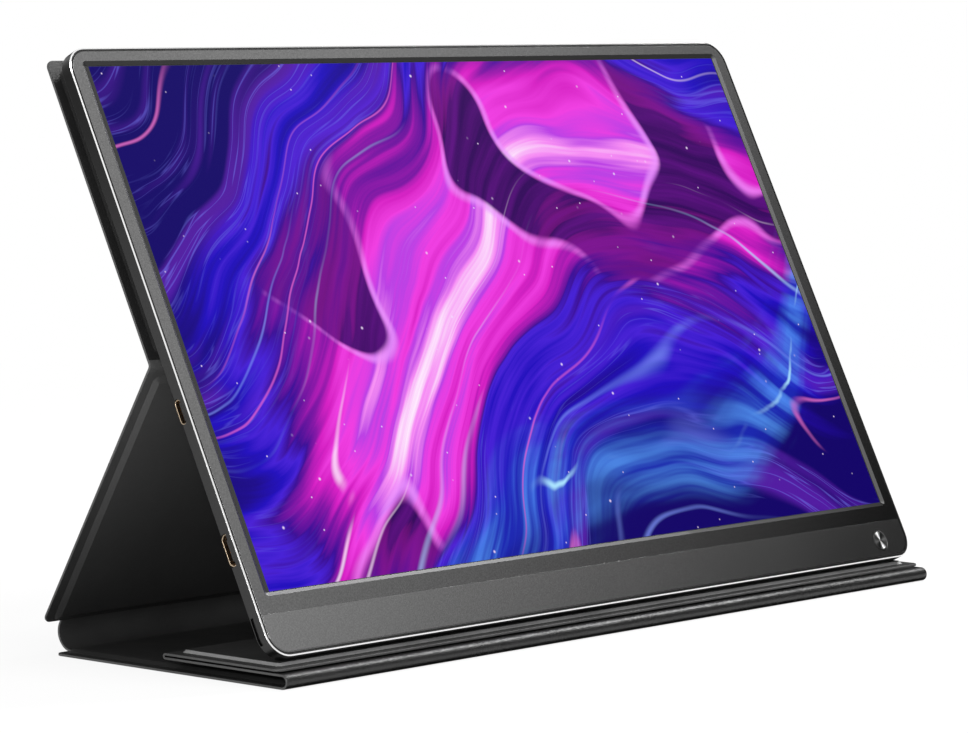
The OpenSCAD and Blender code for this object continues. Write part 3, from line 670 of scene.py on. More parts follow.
@dataclass(frozen=True)
class Moulded(Finish):
    """Moulded plastic, foam, card or film: a fine tooth with cloudy colour."""

    colour: Colour
    rough: float = 0.5
    tooth: float = 0.4
    depth: float = 0.01
    vary: float = 0.15

    def paint(self, r: Recipe) -> None:
        """Adds one fine and one broad noise.

        Args:
            r: The recipe to paint.
        """
        fine, cloud = r.noise(1000.0 / self.tooth, 4.0), r.noise(60.0)
        colour = (fine * 0.6 + cloud * 0.4).level(0.35, 0.65).mix(*spread(self.colour, self.vary))
        rough = cloud.level(0.3, 0.7, self.rough - 0.05, self.rough + 0.05)
        r.surface(Base_Color=colour, Roughness=rough, Normal=r.relief(fine, self.depth))


@dataclass(frozen=True)
class Circuit(Finish):
    """Solder mask over copper tracks, with bare pads."""

    mask: Colour
    place: Place
    pad_cell: float = 3.4

    def paint(self, r: Recipe) -> None:
        """The tracks are the edges of brick rows in two directions, the pads small round cells.

        Args:
            r: The recipe to paint.
        """
        flat = r.local(self.place)
        tracks = [r.add("TexBrick", {
            "Vector": flat.mapped(Scale=(0.3,) * 3, Rotation=(0.0, 0.0, turn)), "Scale": 1.0,
            "Mortar Size": 0.05, "Brick Width": 2.7, "Row Height": 0.4}, "Fac")
            for turn in (0.0, math.pi / 2.0)]
        area = r.noise(120.0, 1.0).level(0.48, 0.52)
        track = tracks[0] * area + tracks[1] * (1.0 - area)
        cells = r.add("TexVoronoi", {"Vector": r.spot, "Scale": 1000.0 / self.pad_cell})
        pads = cells.level(0.14, 0.0)
        colour = track.mix(self.mask, tuple(min(1.0, 2.2 * c + 0.01) for c in self.mask))
        r.surface(Base_Color=pads.mix(colour, rgb(205, 170, 95)), Metallic=pads, Roughness=0.38,
                  Coat_Weight=0.2, Normal=r.relief(track + pads, 0.03))


@dataclass(frozen=True)
class SpunMetal(Finish):
    """Spun metal: circular grooves about a place's z axis with anisotropic gloss, and two bright
    wedges painted into its colour as a painted highlight.
    """

    colour: Colour
    place: Place
    # turn of the painted highlight's wedges
    highlight_turn: float = math.radians(98.0)

    def paint(self, r: Recipe) -> None:
        """The grooves run along (-y, x, 0) in the place's frame.

        Args:
            r: The recipe to paint.
        """
        x, y, _ = r.local(self.place).split()
        along = r.add("Mapping", {"Vector": r.join(y * -1.0, x), "Rotation": self.place.euler()},
                      vector_type="VECTOR")
        tangent = r.add("VectorTransform", {0: along}, vector_type="VECTOR",
                        convert_from="OBJECT", convert_to="WORLD")
        rings = r.noise(9.0, 4.0, r.join(r.math("SQRT", x * x + y * y)))
        # painted highlight: two bright wedges across the disc, dark elsewhere
        highlight_facing = abs(r.math("COSINE", r.math("ARCTAN2", y, x) - self.highlight_turn))
        painted_wedge = highlight_facing.level(0.8, 0.985, smooth=True).peak(highlight_facing.level(0.5, 0.0, 0.0, 0.22))
        colour = painted_wedge.mix(tuple(0.07 * c for c in self.colour), self.colour)
        colour = rings.level(0.3, 0.7, 0.0, 0.18).mix(colour, (0.0, 0.0, 0.0))
        r.surface(Base_Color=colour, Metallic=1.0, Roughness=0.32, Anisotropic=0.9,
                  Anisotropic_Rotation=0.25, Tangent=tangent, Normal=r.relief(rings, 0.004))


@dataclass(frozen=True)
class LampStrip(Finish):
    """A row of small lamps under yellow phosphor on a white carrier."""

    place: Place

    def paint(self, r: Recipe) -> None:
        """Bricks of 4.2 mm are the lamps, the mortar is the carrier.

        Args:
            r: The recipe to paint.
        """
        rows = r.add("TexBrick", {"Vector": r.local(self.place), "Scale": 1.0, "Brick Width": 4.2,
                                  "Row Height": 6.0, "Mortar Size": 0.5}, "Fac", offset=0.0)
        grain = r.noise(4000.0).level(0.3, 0.7, 0.85, 1.0)
        lamp = grain.mix(rgb(214, 180, 40), rgb(240, 215, 90))
        r.surface(Base_Color=rows.mix(lamp, tone(225)), Roughness=0.4,
                  Normal=r.relief(rows, -0.08))


@dataclass(frozen=True)
class Picture(Finish):
    """The lit picture: a glowing stream of silk that winds across a dark blue field.

    The picture runs from -1 to 1 across and in the same unit upward; outside of it the glass
    is black, as is a narrow strip at its left end.
    """

    place: Place
    half_width: float
    half_height: float
    strip: float = 1.6
    stream: tuple[tuple[float, ...], ...] = (
        (0.0, 18, 2, 104), (0.14, 27, 4, 140), (0.24, 32, 8, 190), (0.32, 70, 30, 214),
        (0.39, 58, 6, 150), (0.48, 134, 16, 166), (0.58, 214, 28, 196), (0.68, 240, 60, 226),
        (0.78, 186, 62, 228), (0.88, 246, 140, 244), (1.0, 255, 240, 255))

    def bend(self, vector: Signal, scale: float, amount: float) -> Signal:
        """The vector pushed aside by noise of a scale."""
        push = vector.recipe.noise(scale, 1.5, vector, out="Color").vector("SUBTRACT", (0.5,) * 3)
        return vector.vector("ADD", push.vector("SCALE", scale=amount))

    def across(self, x: Signal, y: Signal, wave: tuple[float, float, float], slope: float,
               rise: float) -> Signal:
        """Distance across a stream: y - (rise + slope x + a sin(b x + c))."""
        swing = x.recipe.math("SINE", x * wave[1] + wave[2]) * wave[0]
        return y - (swing + (x * slope + rise))

    def strands(self, along: Signal, side: Signal, *scale: float, seed: float,
                detail: float = 3.0) -> Signal:
        """Noise drawn out along a stream, from -0.5 to 0.5.

        Args:
            along: Position along the stream.
            side: Position across it.
            scale: Strands along and across.
            seed: Which draw of the noise.
            detail: Detail of the noise.

        Returns:
            The strands.
        """
        r = along.recipe
        spot = r.join(along * scale[0], side * scale[1], seed)
        return r.noise(1.0, detail, spot, 0.55) - 0.5

    def stars(self, r: Recipe, x: Signal, y: Signal, colour: Signal) -> Signal:
        """The colour with a few small stars, in cells of two sizes in millimetres.

        Args:
            r: The recipe.
            x: Position across the picture.
            y: Position up the picture.
            colour: The colour below.

        Returns:
            The colour.
        """
        for cell, seed in ((15.0, 0.0), (24.0, 1.3)):
            node = r.node("TexVoronoi", {"Vector": r.join(x, y).mapped(Location=(seed,) * 3),
                                         "Scale": self.half_width / cell}, voronoi_dimensions="2D")
            far, draw = (Signal(r, node.outputs[name]) for name in ("Distance", "Color"))
            star = far.level(0.035, 0.0, smooth=True) * draw.split()[0].level(0.66, 0.9)
            colour = star.mix(colour, rgb(245, 220, 255))
        return colour

    def paint(self, r: Recipe) -> None:
        """Colours by value = 0.86 - 0.98 |t| + strands, with t the distance across the stream.

        Args:
            r: The recipe to paint.
        """
        flat = r.local(self.place, 0.001 * self.half_width)
        way = self.bend(self.bend(flat, 1.35, 0.5), 4.0, 0.03)
        x, y, _ = way.split()
        t = self.across(x, y, (0.3, 2.6, 0.9), 0.34, 0.02)
        silk, fine, hair, wisp, thread, sweep = (
            self.strands(x, t, *scale, seed=seed, detail=detail) for *scale, seed, detail in (
                (0.9, 5.0, 2.3, 3.0), (1.3, 19.0, 6.1, 3.0), (1.6, 70.0, 9.7, 2.0),
                (1.2, 9.0, 4.4, 2.0), (2.0, 38.0, 8.1, 2.0), (0.7, 2.6, 5.2, 0.0)))
        reach = flat.mapped(Scale=(1.0, 1.5, 0.0)).vector("LENGTH", out="Value")
        calm = reach.level(0.6, 1.35, smooth=True) * -0.46 + (abs(t) * -0.98 + 0.86)
        value = fine * 0.34 + (hair * 0.12 + (silk * 1.12 + calm))
        colour = value.ramp([(position, rgb(*levels)) for position, *levels in self.stream])
        quiet = value.level(0.5, 0.2)
        veil = wisp.level(0.02, 0.2, smooth=True) * quiet
        colour = (veil * 0.5).mix(colour, rgb(112, 40, 200))
        lines = abs(thread).level(0.028, 0.0) * wisp.level(-0.02, 0.12)
        colour = (lines * quiet * 0.4).mix(colour, rgb(120, 120, 250))
        shape = r.noise(2.3, 0.6, way.mapped(Location=(4.2, 1.3, 0.0)))
        petal = shape.level(0.575, 0.60, smooth=True) * value.level(0.35, 0.6)
        colour = petal.mix(colour, fine.level(-0.1, 0.15).mix(rgb(52, 2, 92), rgb(92, 10, 128)))
        glow = abs(shape - 0.577).level(0.022, 0.0, smooth=True) * value.level(0.4, 0.75)
        colour = (glow * 0.7).mix(colour, rgb(236, 150, 255))
        blue = self.across(x, y, (0.16, 3.4, 2.4), 0.5, -0.52)
        band = self.strands(x, blue, 0.8, 8.0, seed=3.3) * 0.3 + abs(blue)
        cool = fine.level(-0.12, 0.16, smooth=True).mix(rgb(26, 44, 190), rgb(84, 150, 250))
        colour = (band.level(0.17, 0.0, smooth=True) * 0.75).mix(colour, cool)
        crest = abs(blue + silk * 0.12).level(0.01, 0.0, smooth=True)
        colour = (crest * silk.level(-0.06, 0.14, smooth=True)).mix(colour, rgb(170, 226, 255))
        smooth = sweep * 1.0 + abs(t)
        for height, wide, tint, part in (
                (0.13, 0.010, (255, 226, 255), wisp), (0.36, 0.012, (170, 205, 255), silk),
                (0.52, 0.010, (226, 96, 206), wisp), (0.66, 0.012, (130, 150, 255), silk),
                (0.80, 0.010, (226, 110, 200), silk)):
            rim = abs(smooth - height).level(wide, 0.0, smooth=True)
            rim = rim * part.level(-0.05, 0.12, smooth=True)
            colour = (rim * 0.75).mix(colour, rgb(*tint))
        side, rise, _ = flat.split()
        colour = self.stars(r, side, rise, colour)
        inside = (1.0 - abs(side)).over(0.0) * (self.half_height / self.half_width
                                                - abs(rise)).over(0.0)
        inside = inside * side.over(self.strip / self.half_width - 1.0)
        r.surface(Base_Color=inside.mix(tone(50), tone(2)), Roughness=0.22,
                  Specular_IOR_Level=0.02, Emission_Color=inside.mix((0.0, 0.0, 0.0), colour),
                  Emission_Strength=1.0)


# ---------- sizes and stance ----------

@dataclass(frozen=True)
class Stance:
    """Lengths in millimetres that place the cover's panels and the screen, and what follows."""

    height: float = 223.5
    wall: float = 4.5
    lean: float = math.radians(26.5)
    upper_len: float = 113.0
    leg_len: float = 106.9
    riser_len: float = 55.0
    flap_len: float = 53.7
    spare: float = 4.8
    spine_r: float = 6.85
    front_r: float = 2.6
    mid_r: float = 1.5
    rear_r: float = 1.15
    stack: float = 10.7

    @property
    def base_len(self) -> float:
        """The base panel: the case's height and the spare length less riser, flap and folds."""
        folds = math.pi * (self.front_r + 0.25)
        return self.height + self.spare - self.riser_len - self.flap_len - folds

    @property
    def leg_angle(self) -> float:
        """The leg's slope in degrees: asin(reach / |leg, off|) - atan(off / leg).

        Returns:
            The angle.
        """
        away = self.stack - self.wall + self.mid_r
        above = (self.height - self.upper_len) * math.cos(self.lean)
        reach = 7.95 - self.spine_r + above - away * math.sin(self.lean)
        off = self.mid_r + self.spine_r
        slope = math.asin(reach / math.hypot(self.leg_len, off)) - math.atan2(off, self.leg_len)
        return math.degrees(slope)

    @property
    def fold_angle(self) -> float:
        """The turn in degrees of the fold behind the monitor."""
        return 90.0 - self.leg_angle + math.degrees(self.lean)

    @property
    def front_y(self) -> float:
        """Where the front roll's axis lies; the cover's foot is centred on y = 0."""
        return self.spine().origin[1] - self.base_len

    def spine(self) -> Place:
        """Axis of the spine."""
        y = (self.base_len + self.front_r - self.spine_r) / 2.0
        return Place().shift(0.0, y, self.spine_r)

    def front(self) -> Place:
        """Axis of the front roll."""
        return Place().shift(0.0, self.front_y, self.front_r)

    def rear(self, level: float = 5.45) -> Place:
        """Axis of the fold under the flap."""
        return Place().shift(0.0, self.front_y + self.riser_len, level)

    def leg(self) -> Place:
        """Frame of the leg panel."""
        return self.spine().turn("X", 180.0 - self.leg_angle).shift(z=-self.spine_r)

    def mid(self) -> Place:
        """Axis of the fold behind the monitor, still level with the leg."""
        return self.leg().shift(0.0, self.leg_len, -self.mid_r)

    def upper(self) -> Place:
        """Frame of the panel that holds the monitor."""
        return self.mid().turn("X", -self.fold_angle).shift(z=self.mid_r)

    def screen(self) -> Place:
        """Frame of the screen face, with the picture's centre at its origin."""
        return self.upper().shift(0.0, 9.5, self.stack)

    def base(self) -> Place:
        """Frame of the base panel."""
        return Place().shift(0.0, self.front_y)

    def riser(self) -> Place:
        """Frame of the riser panel, upside down."""
        return self.base().shift(z=2.0 * self.front_r).turn("Y", 180.0)

    def flap(self) -> Place:
        """Frame of the top flap, which runs back to the front."""
        return self.rear(5.7).turn("Z", 180.0)


STANCE = Stance()
SCREEN = STANCE.screen()
PICTURE_HALF = (172.1, 96.8)
BUTTON = (162.1, -112.3)
SPEAKER_Y, SPEAKER_Z = -109.3, -3.55


class Side(Enum):
    """Left or right of the screen; the value is the sign of x."""

    LEFT = -1
    RIGHT = 1


# ---------- monitor case ----------

@dataclass
class MonitorCase:
    """Side frame, back cover, bezel, chin plate and button of the monitor.

    Heights are measured from the screen face: the underside of the bezel's plate, the seam
    between frame and back, and the back's outside and inside lie below it.
    """

    half: float = 180.0
    top: float = 103.5
    foot: float = -120.0
    corner: float = 9.0
    chin_top: float = -104.6
    plate: float = -1.2
    seam: float = -4.5
    back: float = -8.5
    back_inside: float = -7.3
    button_r: float = 4.0
    side_screws: tuple[float, ...] = (74.52, 10.35, -55.1)
    end_screws: tuple[float, float] = (100.3, -116.4)
    board_screws: tuple[Pair, ...] = tuple((x, y) for x in (-168.4, -97.4) for y in (-20.0, -95.0))

    def loop(self, inset: float) -> np.ndarray:
        """The case's outline, set in."""
        return rounded_box(self.half - inset, self.foot + inset, self.top - inset,
                           max(self.corner - inset, 0.4))

    def window(self, spread_by: float, radius: float) -> np.ndarray:
        """Outline round the picture, larger by a spread."""
        x, y = (size + spread_by for size in PICTURE_HALF)
        return rounded_box(x, -y, y, radius)

    def frame_screws(self) -> list[Pair]:
        """Places of the screws between side frame and back cover."""
        sides = [(s * 176.5, y) for s in (-1, 1) for y in self.side_screws]
        return sides + [(s * 108.0, y) for s in (-1, 1) for y in self.end_screws]

    def rod(self, at: Pair, rows: Sequence[Pair], count: int = 16) -> Object:
        """A turned cutter at a place on the screen face."""
        ends = [(0.0, rows[0][1]), *rows, (0.0, rows[-1][1])]
        return Solid().turned(ends, at, count).build("tool", SCREEN)

    def wall_tools(self) -> list[Object]:
        """Openings of the ports and the speaker slots, each with a small flare at its mouth.

        Returns:
            The cutters.
        """
        mouth = [(-0.1, -7.2), (-0.1, 0.42), (-0.16, 0.52), (-0.5, 0.9)]
        slot = [(0.0, -9.0), (0.0, -0.12), (0.3, 0.3)]
        tools = [Solid().skin(carried(kind.value.outline, mouth)).build("tool", kind.value.place())
                 for kind in PortKind]
        for side in Side:
            place = SCREEN.shift(side.value * self.half, SPEAKER_Y, SPEAKER_Z)
            rows = carried(lambda e: rounded_box(0.7 + e, -4.9 - e, 4.9 + e, 0.3, 4, 0.05), slot)
            tools.append(Solid().skin(rows).build("tool", place.turn("Y", 90.0 * side.value)))
        return tools

    def side_frame(self, wall: Material, polish: Material) -> None:
        """The frame: wall and polished bevel carried round the case, a dark step, and the ledge.

        Args:
            wall: Finish of the wall and the ledge.
            polish: Finish of the bevel.
        """
        edge = fillet([(1.2, self.plate), (1.2, -0.15), (0.55, -0.15), (0.55, 0.0), (0.49, 0.0),
                       (0.05, -0.21), (0.05, self.seam), (1.2, self.seam), (1.2, -2.1)],
                      (0.03, 0.0, 0.02, 0.03, 0.04, 0.1, 0.0), 3, 0.02)
        marks = [int(a[1] + b[1] > -0.6 and max(a[0], b[0]) < 0.54)
                 for a, b in zip(edge, edge[1:])]
        opening = rounded_box(173.6, -114.2, 98.3, 0.5)
        rows = [*carried(self.loop, edge), (opening, -2.1), (opening, self.plate)]
        solid = Solid().patch(loft(rows), marks + [0, 0, 0], cycle=True)
        piece = solid.build("case_side_frame", SCREEN, [wall, polish])
        tools = [self.rod(at, [(0.85, -6.0), (0.85, 0.5)]) for at in self.frame_screws()]
        tools.append(self.rod(BUTTON, [(5.1, -3.0), (5.1, 0.0)], 48))
        carve(piece, [*tools, *self.wall_tools()])
        settle(piece, "monitor", "case_frame", "side_frame")

    def back_cover(self, finish: Material) -> None:
        """The back: a shallow tray whose sides slope in, with its screw bosses.

        Args:
            finish: Finish of the tray and its bosses.
        """
        outside = fillet([(1.2, self.seam), (0.0, self.seam), (5.0, self.back),
                          (20.0, self.back)], (0.1, 1.4), 6, 0.1)
        rows = [(20.0, self.back_inside), (5.6, self.back_inside), (1.2, self.seam), *outside[1:]]
        piece = Solid().skin(carried(self.loop, rows)).build("case_back_cover", SCREEN, [finish])
        carve(piece, self.wall_tools())
        bosses = Solid()
        tubes = [(at, -6.2, -2.1) for at in self.frame_screws()]
        for at, low, high in tubes + [(at, -7.35, -6.15) for at in self.board_screws]:
            bosses.turned([(0.8, low), (1.7, low), (1.7, high - 0.15), (1.55, high), (0.8, high),
                           (0.8, low)], at, 20)
        join(piece, bosses.build("bosses", SCREEN, [finish]))
        settle(piece, "monitor", "case_back", "rear_cover")

    def front_bezel(self, finish: Material, lip: Material) -> None:
        """The bezel: a plate with rounded edges, the lip sloping in and the chin's pocket.

        Args:
            finish: Finish of the plate.
            lip: Finish of the slope round the picture.
        """
        rim = fillet([(1.3, self.plate), (1.3, 0.0), (3.0, 0.0)], (0.1,), 4, 0.03)[:-1]
        slope = fillet([(3.0, 0.0), (1.7, 0.0), (0.3, -0.7), (0.3, -0.8)], (0.14, 0.0), 4,
                       0.03)[1:-1]
        seat = rounded_box(173.4, -101.4, 98.1, 0.3)
        rows = [*carried(self.loop, rim),
                *[(self.window(s, max(0.3 + s, 0.5)), max(z, -0.7)) for s, z in slope],
                (seat, -0.7), (seat, self.plate)]
        marks = [0] * len(rim) + [1] * (len(slope) - 1) + [0] * 3
        solid = Solid().patch(loft(rows), marks, cycle=True)
        piece = solid.build("case_front_bezel", SCREEN, [finish, lip])
        pocket = Solid().skin([(self.chin_loop(0.0), z) for z in (-0.4, 1.0)])
        carve(piece, [pocket.build("tool", SCREEN),
                      self.rod(BUTTON, [(4.08, -2.0), (4.08, 1.0)], 64),
                      *[self.rod(at, [(1.6, -2.0), (1.6, -0.6)]) for at in self.frame_screws()]])
        posts = Solid()
        for side in (-6.5, 6.5):
            posts.turned([(0.0, -4.95), (0.85, -4.95), (1.0, -4.8), (1.0, -4.15), (1.6, -4.15),
                          (1.6, -1.2), (0.0, -1.2)], (BUTTON[0] + side, BUTTON[1]), 24)
        join(piece, posts.build("posts", SCREEN, [finish]))
        settle(piece, "monitor", "bezel", "front_bezel")

    def chin_loop(self, inset: float) -> np.ndarray:
        """Outline of the chin plate's pocket, set in.

        Args:
            inset: How far it is set in.

        Returns:
            The outline.
        """
        away = 1.7 + inset
        r = self.corner - away
        return rounded_box(self.half - away, self.foot + away, self.chin_top - inset,
                           (0.2, 0.2, r, r))

    def chin_plate(self, finish: Material, gap: float = 0.05) -> None:
        """The grained plate across the foot, with rounded edges and the button's hole.

        Args:
            finish: Finish of the plate.
            gap: Gap to its pocket.
        """
        edge = fillet([(gap, -0.4), (gap, 0.0), (1.0 + gap, 0.0)], (0.04,), 3, 0.03)[:-1]
        piece = Solid().skin(carried(self.chin_loop, edge)).build("case_chin_plate", SCREEN,
                                                                  [finish])
        hole = [(4.08, -1.0), (4.08, -0.17), (4.3, 0.05), (4.5, 0.25)]
        carve(piece, [self.rod(BUTTON, hole, 64)])
        settle(piece, "monitor", "chin", "chin_plate")

    def power_button(self, spun: Material, edge: Material) -> None:
        """The button: a slightly dished disc with a bright edge, over its retaining flange.

        Args:
            spun: Finish of the disc's face.
            edge: Finish of its rim and flange.
        """
        r = self.button_r
        dish = [(q, 0.07 + 0.05 * (q / 3.55) ** 2) for q in np.linspace(0.0, 3.55, 9)]
        rim = fillet([(3.55, 0.12), (r, 0.15), (r, -1.4)], (0.13,), 5, 0.03)[1:-1]
        flange = [(r, -1.3), (4.72, -1.3), (4.8, -1.38), (4.8, -1.62), (4.72, -1.7), (0.0, -1.7)]
        solid = Solid().turned(dish, BUTTON, 96)
        solid.turned([dish[-1], (3.62, 0.075), (3.68, 0.135), *rim, *flange], BUTTON, 96, 1)
        settle(solid.build("power_button_disc", SCREEN, [spun, edge]), "button", "button",
               "power_button")


# ---------- ports and speaker cloth ----------

@dataclass(frozen=True)
class Port:
    """A socket in the left wall: its shell's outline, tongue and contacts."""

    name: str
    node: str
    drop: float
    width: float
    height: float
    cut: float
    tongue: Pair
    contacts: int
    pitch: float

    def place(self) -> Place:
        """Frame at the shell's mouth: x through the case, y up the wall, z out of the wall."""
        turned = SCREEN.shift(-179.5, -self.drop, -3.85)
        return Place(turned.origin, np.array([turned.axes[2], turned.axes[1], -turned.axes[0]]))

    def outline(self, inset: float) -> np.ndarray:
        """The shell's outline set in: round ends, or two cut corners where cut is set.

        Args:
            inset: How far it is set in.

        Returns:
            The outline.
        """
        a, b, c = self.width / 2 - inset, self.height / 2 - inset, self.cut
        if not c:
            return rounded_box(b, -a, a, b - 1e-4, 8, 0.0)
        corners = [(b, -a), (b, a), (c - b, a), (-b, a - c), (-b, c - a), (c - b, -a)]
        return fillet(corners, [0.3] * 6, 4, 0.05)

    def make(self, steel: Material, gold: Material, black: Material) -> None:
        """The shell with a rolled mouth, the tongue and its rows of contacts.

        Args:
            steel: Finish of the shell.
            gold: Finish of the contacts.
            black: Finish of the tongue.
        """
        shell = fillet([(0.0, -6.1), (0.0, 0.0), (0.35, 0.0), (0.35, -5.1)], (0.12, 0.12), 3, 0.02)
        half, wide = self.tongue
        tongue = [(0.0, -5.2), (0.0, -0.95), (0.12, -0.8)]
        solid = Solid().skin(carried(self.outline, shell))
        solid.skin(carried(lambda i: rounded_box(half - i, i - wide, wide - i, 0.1, 3, 0.02),
                           tongue), 2)
        across = (np.arange(self.contacts) - (self.contacts - 1) / 2) * self.pitch
        for s in (-half, half):
            centres = np.stack([0.0 * across + s, across, 0.0 * across - 2.6], -1)
            solid.blocks(centres, (0.06, 0.55 * self.pitch, 3.0), 1)
        settle(solid.build(self.name, self.place(), [steel, gold, black]), "monitor",
               "port_steel", self.node)


class PortKind(Enum):
    """The two sockets in the left wall."""

    USB_C = Port("port_shell_oval", "usb_c_port", 30.0, 8.94, 3.26, 0.0, (0.35, 3.37), 12, 0.5)
    MINI_HDMI = Port("port_shell_cut", "mini_hdmi_port", 80.2, 11.4, 3.0, 1.2, (0.3, 3.8), 10, 0.72)


@dataclass
class SpeakerCloth:
    """Woven cloth behind a speaker slot, bent round the inside of the case's corner."""

    side: Side
    half: float = 5.2
    tall: float = 0.8
    threads: tuple[int, int] = (26, 4)

    def layer(self, y: np.ndarray, z: np.ndarray, inset: np.ndarray) -> np.ndarray:
        """A sheet inside the wall: x = 171 + sqrt(r^2 - below^2), with r = 9 - inset.

        Args:
            y: Heights on the screen face.
            z: Depths.
            inset: Distance inside the wall.

        Returns:
            The sheet's points.
        """
        r, below = 9.0 - inset, np.clip(-111.0 - y, 0.0, None)
        x = 171.0 + np.sqrt(np.clip(r ** 2 - np.minimum(below, r) ** 2, 0.0, None))
        return np.stack([self.side.value * x, y + 0.0 * x, z + 0.0 * x], -1)

    def make(self, finish: Material) -> None:
        """The cloth: depth 1.23 + 0.03 sin(pi a) sin(pi b) inside the wall over threads a and b.

        Args:
            finish: Finish of the cloth.
        """
        along, tall = (6 * count + 1 for count in self.threads)
        y = np.linspace(SPEAKER_Y - self.half, SPEAKER_Y + self.half, along)[:, None]
        z = np.linspace(SPEAKER_Z - self.tall, SPEAKER_Z + self.tall, tall)[None, :]
        a, b = (np.linspace(0.0, count, 6 * count + 1) * math.pi for count in self.threads)
        weave = 1.23 + 0.03 * np.sin(a)[:, None] * np.sin(b)[None, :]
        front, back = self.layer(y, z, weave), self.layer(y, z, np.full_like(weave, 1.5))
        solid = Solid().patch(front, around=False).patch(back, around=False)
        solid.patch(np.stack([np.vstack([g[:-1, 0], g[-1, :-1], g[:0:-1, -1], g[0, :0:-1]])
                              for g in (front, back)]))
        name = self.side.name.lower()
        piece = solid.build(f"speaker_cloth_{name}", SCREEN, [finish], 60.0)
        settle(piece, "monitor", "speaker_cloth", f"speaker_mesh_{name}")


# ---------- cover ----------

@dataclass(frozen=True)
class CoverLooks:
    """Finishes of the cover; rest and slope are the flap's, bend is the folds' inner side. Rest and
    bend are lighter copies of the lining, slope carries a painted highlight, and leg and bend
    lighten toward their tops: all painted light.
    """

    hide: Material
    lining: Material
    edge: Material
    rest: Material
    slope: Material
    leg: Material
    bend: Material


@dataclass(frozen=True)
class Panel:
    """One panel of the cover: a leather outside and a lining pressed over a stiff board.

    The sheet runs from ends[0] to ends[1] along y and the raised part from pad[0] to pad[1];
    an end with a radius is free, and one without goes on into a fold.
    """

    name: str
    place: Place
    ends: Pair
    pad: Pair
    radii: Pair
    bevel: float = 1.25
    half: float = 180.0
    skin: float = 0.45
    rise: float = 1.1
    border: float = 4.0

    def sheet(self, inset: float) -> np.ndarray:
        """Outline of the sheet, set in at its sides and free ends.

        Args:
            inset: How far it is set in.

        Returns:
            The outline.
        """
        low, high = (e + s * inset * (r > 0) for e, s, r in zip(self.ends, (1, -1), self.radii))
        r0, r1 = (max(r - inset, 0.05) if r > 0 else 0.0 for r in self.radii)
        return rounded_box(self.half - inset, low, high, (r1, r1, r0, r0), 8, 0.15)

    def raised(self, inset: float, radius: float = 2.5) -> np.ndarray:
        """Outline of the raised part, set in."""
        return rounded_box(self.half - self.border - inset, self.pad[0] + inset,
                           self.pad[1] - inset, max(radius - inset, 0.5), 8, 0.15)

    def edge_marks(self, rows: Sequence[Pair]) -> list[int]:
        """Finish 1, the cut edge, on the rows close to the rim."""
        return [int(max(a[0], b[0]) < 0.08) for a, b in zip(rows, rows[1:])]

    def outside(self, looks: CoverLooks) -> None:
        """The outer leather, flat with a rolled edge.

        Args:
            looks: Finishes of the cover.
        """
        rows = fillet([(2.0, 0.0), (0.0, 0.0), (0.0, self.skin)], (0.25,), 4, 0.05)
        solid = Solid().skin(carried(self.sheet, rows), self.edge_marks(rows))
        piece = solid.build(f"{self.name}_outside", self.place, [looks.hide, looks.edge])
        settle(piece, self.name, "skin", f"{self.name}_outer_skin")

    def inside(self, looks: CoverLooks) -> None:
        """The lining: a pressed border, and the raised part with soft edges over the board.

        Args:
            looks: Finishes of the cover.
        """
        t, low = self.skin, 2.0 * self.skin
        high = low + self.rise
        rim = fillet([(0.0, t), (0.0, low), (2.0, low)], (0.25,), 4, 0.05)[:-1]
        rise = fillet([(-1.0, low), (0.0, low), (self.bevel, high), (5.0, high)], (0.5, 0.8), 4,
                      0.08)[1:-1]
        board = rounded_box(self.half - 5.4, self.pad[0] + 1.4, self.pad[1] - 1.4, 1.2, 8, 0.15)
        # finish 2 on the raised part's bevel, which on the flap carries a painted highlight
        slope = [2 * int(low + 0.1 < 0.5 * (a[1] + b[1]) < high - 0.04)
                 for a, b in zip(rise, rise[1:])]
        rows = [(board, t + self.rise), (board, t), *carried(self.sheet, rim),
                *carried(self.raised, rise)]
        solid = Solid().skin(rows, [0, 0, *self.edge_marks(rim), 0, *slope])
        # the flap's lining is a lighter copy and the leg's lightens toward its top: painted light
        lining = {"flap": looks.rest, "leg": looks.leg}.get(self.name, looks.lining)
        piece = solid.build(f"{self.name}_lining", self.place,
                            [lining, looks.edge, looks.slope if self.name == "flap" else lining])
        settle(piece, self.name, "skin", f"{self.name}_inner_skin")


